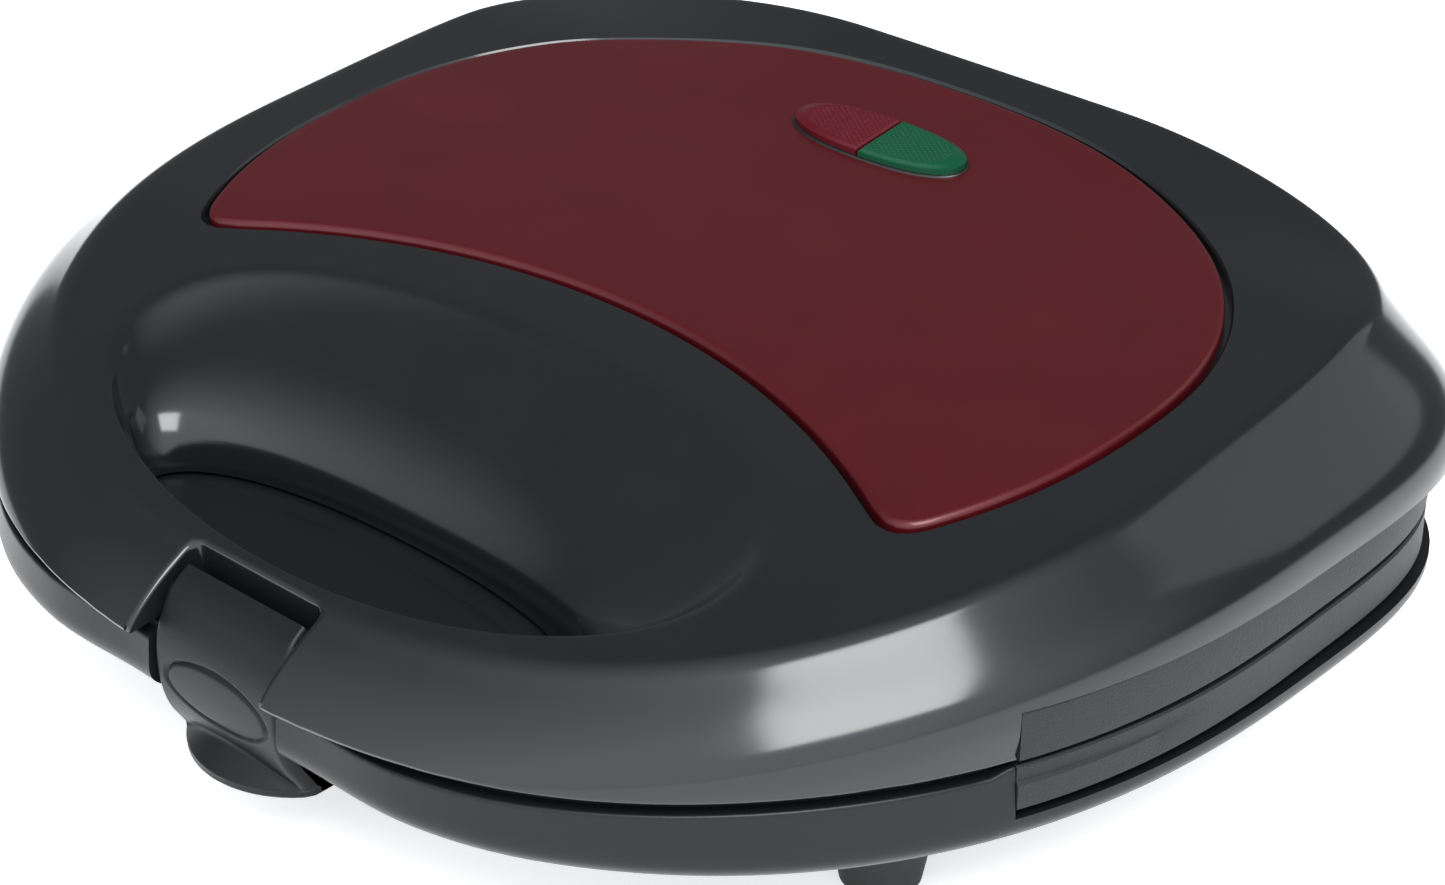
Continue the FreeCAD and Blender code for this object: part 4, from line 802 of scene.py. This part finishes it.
def make_base(material, band_material, deck_material):
    """The base's shell, its band, knuckles, foot pads and deck."""
    high, slot_top = 20, BAND_LOW + 0.3
    base = closed_form("base_shell", hull_rings())
    rebate = [(REBATE_ROOT, BAND_LOW), (REBATE_OUT, BAND_LOW), (REBATE_OUT, high), (REBATE_ROOT, high)]
    cut(base, band_form("rebate_tool", lambda y: rebate, BAND_REACH))
    slot = [(SLOT_ROOT, SLOT_LOW), (REBATE_OUT, SLOT_LOW), (REBATE_OUT, slot_top), (SLOT_ROOT, slot_top)]
    cut(base, band_form("slot_tool", lambda y: slot, BAND_REACH))
    cut(base, pocket_tool(-1))
    front, catch_low, catch_top, catch_depth = FRONT_Y - 20, -18.6, -10.6, 2
    cut(base, box_tool(-NOTCH_HALF, NOTCH_HALF, front, CATCH_Y, -40, high))
    cut(base, box_tool(-NOTCH_HALF, NOTCH_HALF, front, CATCH_Y + catch_depth, catch_low, catch_top))
    inlet_radius, inlet_length, inlet_z = 6.2, 40, -16
    inlet = [(0, inlet_radius), (inlet_length, inlet_radius)]
    cut(base, turned("inlet_tool", inlet, (0, REAR_Y - 25, inlet_z), 1))
    finish_piece(base, "base", material, node="lower_housing")
    band = band_form("base_band", base_band_section)
    finish_piece(band, "base", band_material)
    foot_profile = [(0, 3.3), (0, 8.2), (0.4, 8.6), (7, 8.6), (8, 7)]
    for side, word in ((-1, "left"), (1, "right")):
        for name, x0 in (("inner", 52.0), ("outer", 72.0)):
            start = x0 if side > 0 else -x0 - BASE_KNUCKLE
            knuckle = f"base_knuckle_{name}_{word}"
            make_knuckle(knuckle, start, start + BASE_KNUCKLE, -1, "base", material)
        for y, end in ((FOOT_FRONT_Y, "front"), (FOOT_REAR_Y, "rear")):
            pad = turned(f"foot_pad_{word}_{end}", foot_profile, (side * FOOT_X, y, HULL_LOW), 2)
            finish_piece(pad, "base", material)
    deck_pad(deck_material)


# Finishes


def add_node(tree, kind, **values):
    """A shader node with some of its inputs set."""
    item = tree.nodes.new(kind)
    for name, value in values.items():
        item.inputs[name.replace("_", " ")].default_value = value
    return item


def new_material(name):
    mat = bpy.data.materials.new(name)
    mat.use_nodes = True
    return mat, mat.node_tree, mat.node_tree.nodes["Principled BSDF"]


def moulded(name, color, rough, spread, grain_scale, grain_height, metallic=0.0, coat=0.0, shine=0.5):
    """Moulded plastic or metal: slow changes in tone and gloss, and a fine surface grain."""
    dark, light = 0.85, 1.15
    mat, tree, shader = new_material(name)
    place = tree.nodes.new("ShaderNodeTexCoord")
    noise = add_node(tree, "ShaderNodeTexNoise", Scale=60, Detail=4)
    tree.links.new(place.outputs["Object"], noise.inputs["Vector"])
    tone = tree.nodes.new("ShaderNodeValToRGB")
    tone.color_ramp.elements[0].color = (*[c * dark for c in color], 1)
    tone.color_ramp.elements[1].color = (*[c * light for c in color], 1)
    tree.links.new(noise.outputs["Fac"], tone.inputs["Fac"])
    tree.links.new(tone.outputs["Color"], shader.inputs["Base Color"])
    span = add_node(tree, "ShaderNodeMapRange", To_Min=rough - spread, To_Max=rough + spread)
    tree.links.new(noise.outputs["Fac"], span.inputs["Value"])
    tree.links.new(span.outputs["Result"], shader.inputs["Roughness"])
    grain = add_node(tree, "ShaderNodeTexNoise", Scale=grain_scale, Detail=3)
    tree.links.new(place.outputs["Object"], grain.inputs["Vector"])
    bump = add_node(tree, "ShaderNodeBump", Strength=grain_height, Distance=0.0002)
    tree.links.new(grain.outputs["Fac"], bump.inputs["Height"])
    tree.links.new(bump.outputs["Normal"], shader.inputs["Normal"])
    shader.inputs["Metallic"].default_value = metallic
    shader.inputs["Specular IOR Level"].default_value = shine
    shader.inputs["Coat Weight"].default_value = coat
    shader.inputs["Coat Roughness"].default_value = 0.12
    return mat


gloss_black = moulded("gloss_black", (0.0065, 0.0072, 0.008), 0.15, 0.02, 500, 0.012)
band_grey = moulded("band_grey", (0.011, 0.0125, 0.0135), 0.50, 0.05, 2600, 0.8, shine=0.27)
satin_grey = moulded("satin_grey", (0.0055, 0.0063, 0.007), 0.36, 0.05, 2200, 0.12, shine=0.24)
latch_grey = moulded("latch_grey", (0.004, 0.0045, 0.005), 0.42, 0.05, 2200, 0.15, shine=0.22)
deck_grey = moulded("deck_grey", (0.0045, 0.0047, 0.005), 0.5, 0.05, 2200, 0.15, shine=0.2)
maroon = moulded("maroon", (0.066, 0.0035, 0.006), 0.33, 0.04, 3000, 0.08,
                 metallic=0.3, coat=0.12, shine=0.35)
red_tint = moulded("red_tint", (0.066, 0.002, 0.006), 0.2, 0.04, 900, 0.1, shine=0.35)
green_tint = moulded("green_tint", (0.0008, 0.046, 0.02), 0.2, 0.04, 900, 0.1, shine=0.35)
# The lens rim's black is its own colour and also painted shade: it stands in for the shadow gap round the
# lens and the shaded lower side walls of the lens
dark_rim_and_shade = moulded("dark_rim_and_shade", (0.006, 0.004, 0.004), 0.3, 0.05, 900, 0.1)
rubber = moulded("rubber", (0.012, 0.012, 0.012), 0.75, 0.08, 1500, 0.2)
coated = moulded("coated", (0.02, 0.02, 0.02), 0.45, 0.05, 3000, 0.15)
steel = moulded("steel", (0.5, 0.5, 0.5), 0.35, 0.08, 800, 0.1, metallic=1.0)
ceramic = moulded("ceramic", (0.6, 0.58, 0.52), 0.6, 0.05, 600, 0.1)

LOOKS = {
    "upper_plate": coated, "lower_plate": coated, "mains_inlet": rubber,
    "lamp_holder": ceramic, "terminal_block": ceramic,
}
for name, obj in nodes.items():
    obj.data.materials.clear()
    obj.data.materials.append(LOOKS.get(name, rubber if name.startswith("foot") else steel))

make_lid(gloss_black, band_grey)
make_panel(maroon)
make_lens("red_lens_half", -1, red_tint, "red_lens")
make_lens("green_lens_half", 1, green_tint, "green_lens")
make_lens_rim(dark_rim_and_shade)
make_latch(latch_grey)
make_base(satin_grey, band_grey, deck_grey)


# Stage, light and camera


def make_floor():
    """A white floor that keeps a soft shadow; its glow shows to the camera and in reflections only."""
    bpy.ops.mesh.primitive_plane_add(size=12, location=(0, 0, 0))
    floor = bpy.context.object
    floor.name = "floor"
    mat, tree, shader = new_material("floor_white")
    shader.inputs["Base Color"].default_value = (0.85, 0.85, 0.85, 1)
    shader.inputs["Roughness"].default_value = 0.9
    glow = add_node(tree, "ShaderNodeEmission", Strength=0.6)
    both = tree.nodes.new("ShaderNodeAddShader")
    tree.links.new(shader.outputs[0], both.inputs[0])
    tree.links.new(glow.outputs[0], both.inputs[1])
    path = tree.nodes.new("ShaderNodeLightPath")
    seen = tree.nodes.new("ShaderNodeMath")
    seen.operation = "MAXIMUM"
    tree.links.new(path.outputs["Is Camera Ray"], seen.inputs[0])
    tree.links.new(path.outputs["Is Glossy Ray"], seen.inputs[1])
    mix = tree.nodes.new("ShaderNodeMixShader")
    tree.links.new(seen.outputs[0], mix.inputs[0])
    tree.links.new(shader.outputs[0], mix.inputs[1])
    tree.links.new(both.outputs[0], mix.inputs[2])
    tree.links.new(mix.outputs[0], tree.nodes["Material Output"].inputs["Surface"])
    floor.data.materials.append(mat)


def add_softbox(name, place, aim, side, power):
    """A square area light, in metres and watts, turned to a point."""
    data = bpy.data.lights.new(name, "AREA")
    data.shape = "RECTANGLE"
    data.size, data.size_y = side, side
    data.energy = power
    obj = bpy.data.objects.new(name, data)
    bpy.context.collection.objects.link(obj)
    obj.location = place
    obj.rotation_euler = (Vector(aim) - Vector(place)).to_track_quat("-Z", "Y").to_euler()


def make_world():
    """A light tent: pale towards the front and right, darker at the back."""
    bright_side = (0.48, -0.78, 0.40)
    dark, pale, bright = (0.10, 0.105, 0.11, 1), (0.68, 0.73, 0.77, 1), (1.0, 1.07, 1.12, 1)
    world = bpy.data.worlds.new("studio")
    bpy.context.scene.world = world
    world.use_nodes = True
    tree = world.node_tree
    place = tree.nodes.new("ShaderNodeTexCoord")
    facing = tree.nodes.new("ShaderNodeVectorMath")
    facing.operation = "DOT_PRODUCT"
    facing.inputs[1].default_value = bright_side
    tree.links.new(place.outputs["Generated"], facing.inputs[0])
    ramp = tree.nodes.new("ShaderNodeValToRGB")
    ramp.color_ramp.elements[0].position = 0.0
    ramp.color_ramp.elements[0].color = dark
    ramp.color_ramp.elements[1].position = 0.80
    ramp.color_ramp.elements[1].color = bright
    ramp.color_ramp.elements.new(0.55).color = pale
    tree.links.new(facing.outputs["Value"], ramp.inputs["Fac"])
    shade = tree.nodes["Background"]
    shade.inputs["Strength"].default_value = 2.0
    tree.links.new(ramp.outputs["Color"], shade.inputs["Color"])


def make_camera():
    """The camera at the photo's angle."""
    data = bpy.data.cameras.new("camera")
    data.sensor_width = SENSOR
    data.sensor_fit = "HORIZONTAL"
    data.lens = FOCAL_PIXELS / PHOTO_WIDTH * SENSOR
    obj = bpy.data.objects.new("camera", data)
    bpy.context.collection.objects.link(obj)
    obj.location = CAMERA_PLACE
    obj.rotation_euler = (math.radians(90 - CAMERA_ELEVATION), 0, math.radians(CAMERA_AZIMUTH))
    bpy.context.scene.camera = obj


make_floor()
make_world()
add_softbox("key", place=(0.55, -0.36, 0.95), aim=(0, 0, 0.03), side=0.62, power=14)
add_softbox("rim", place=(0.45, 0.80, 0.62), aim=(0, 0, 0.04), side=0.6, power=0.9)
bpy.context.scene.view_settings.view_transform = "Standard"
make_camera()
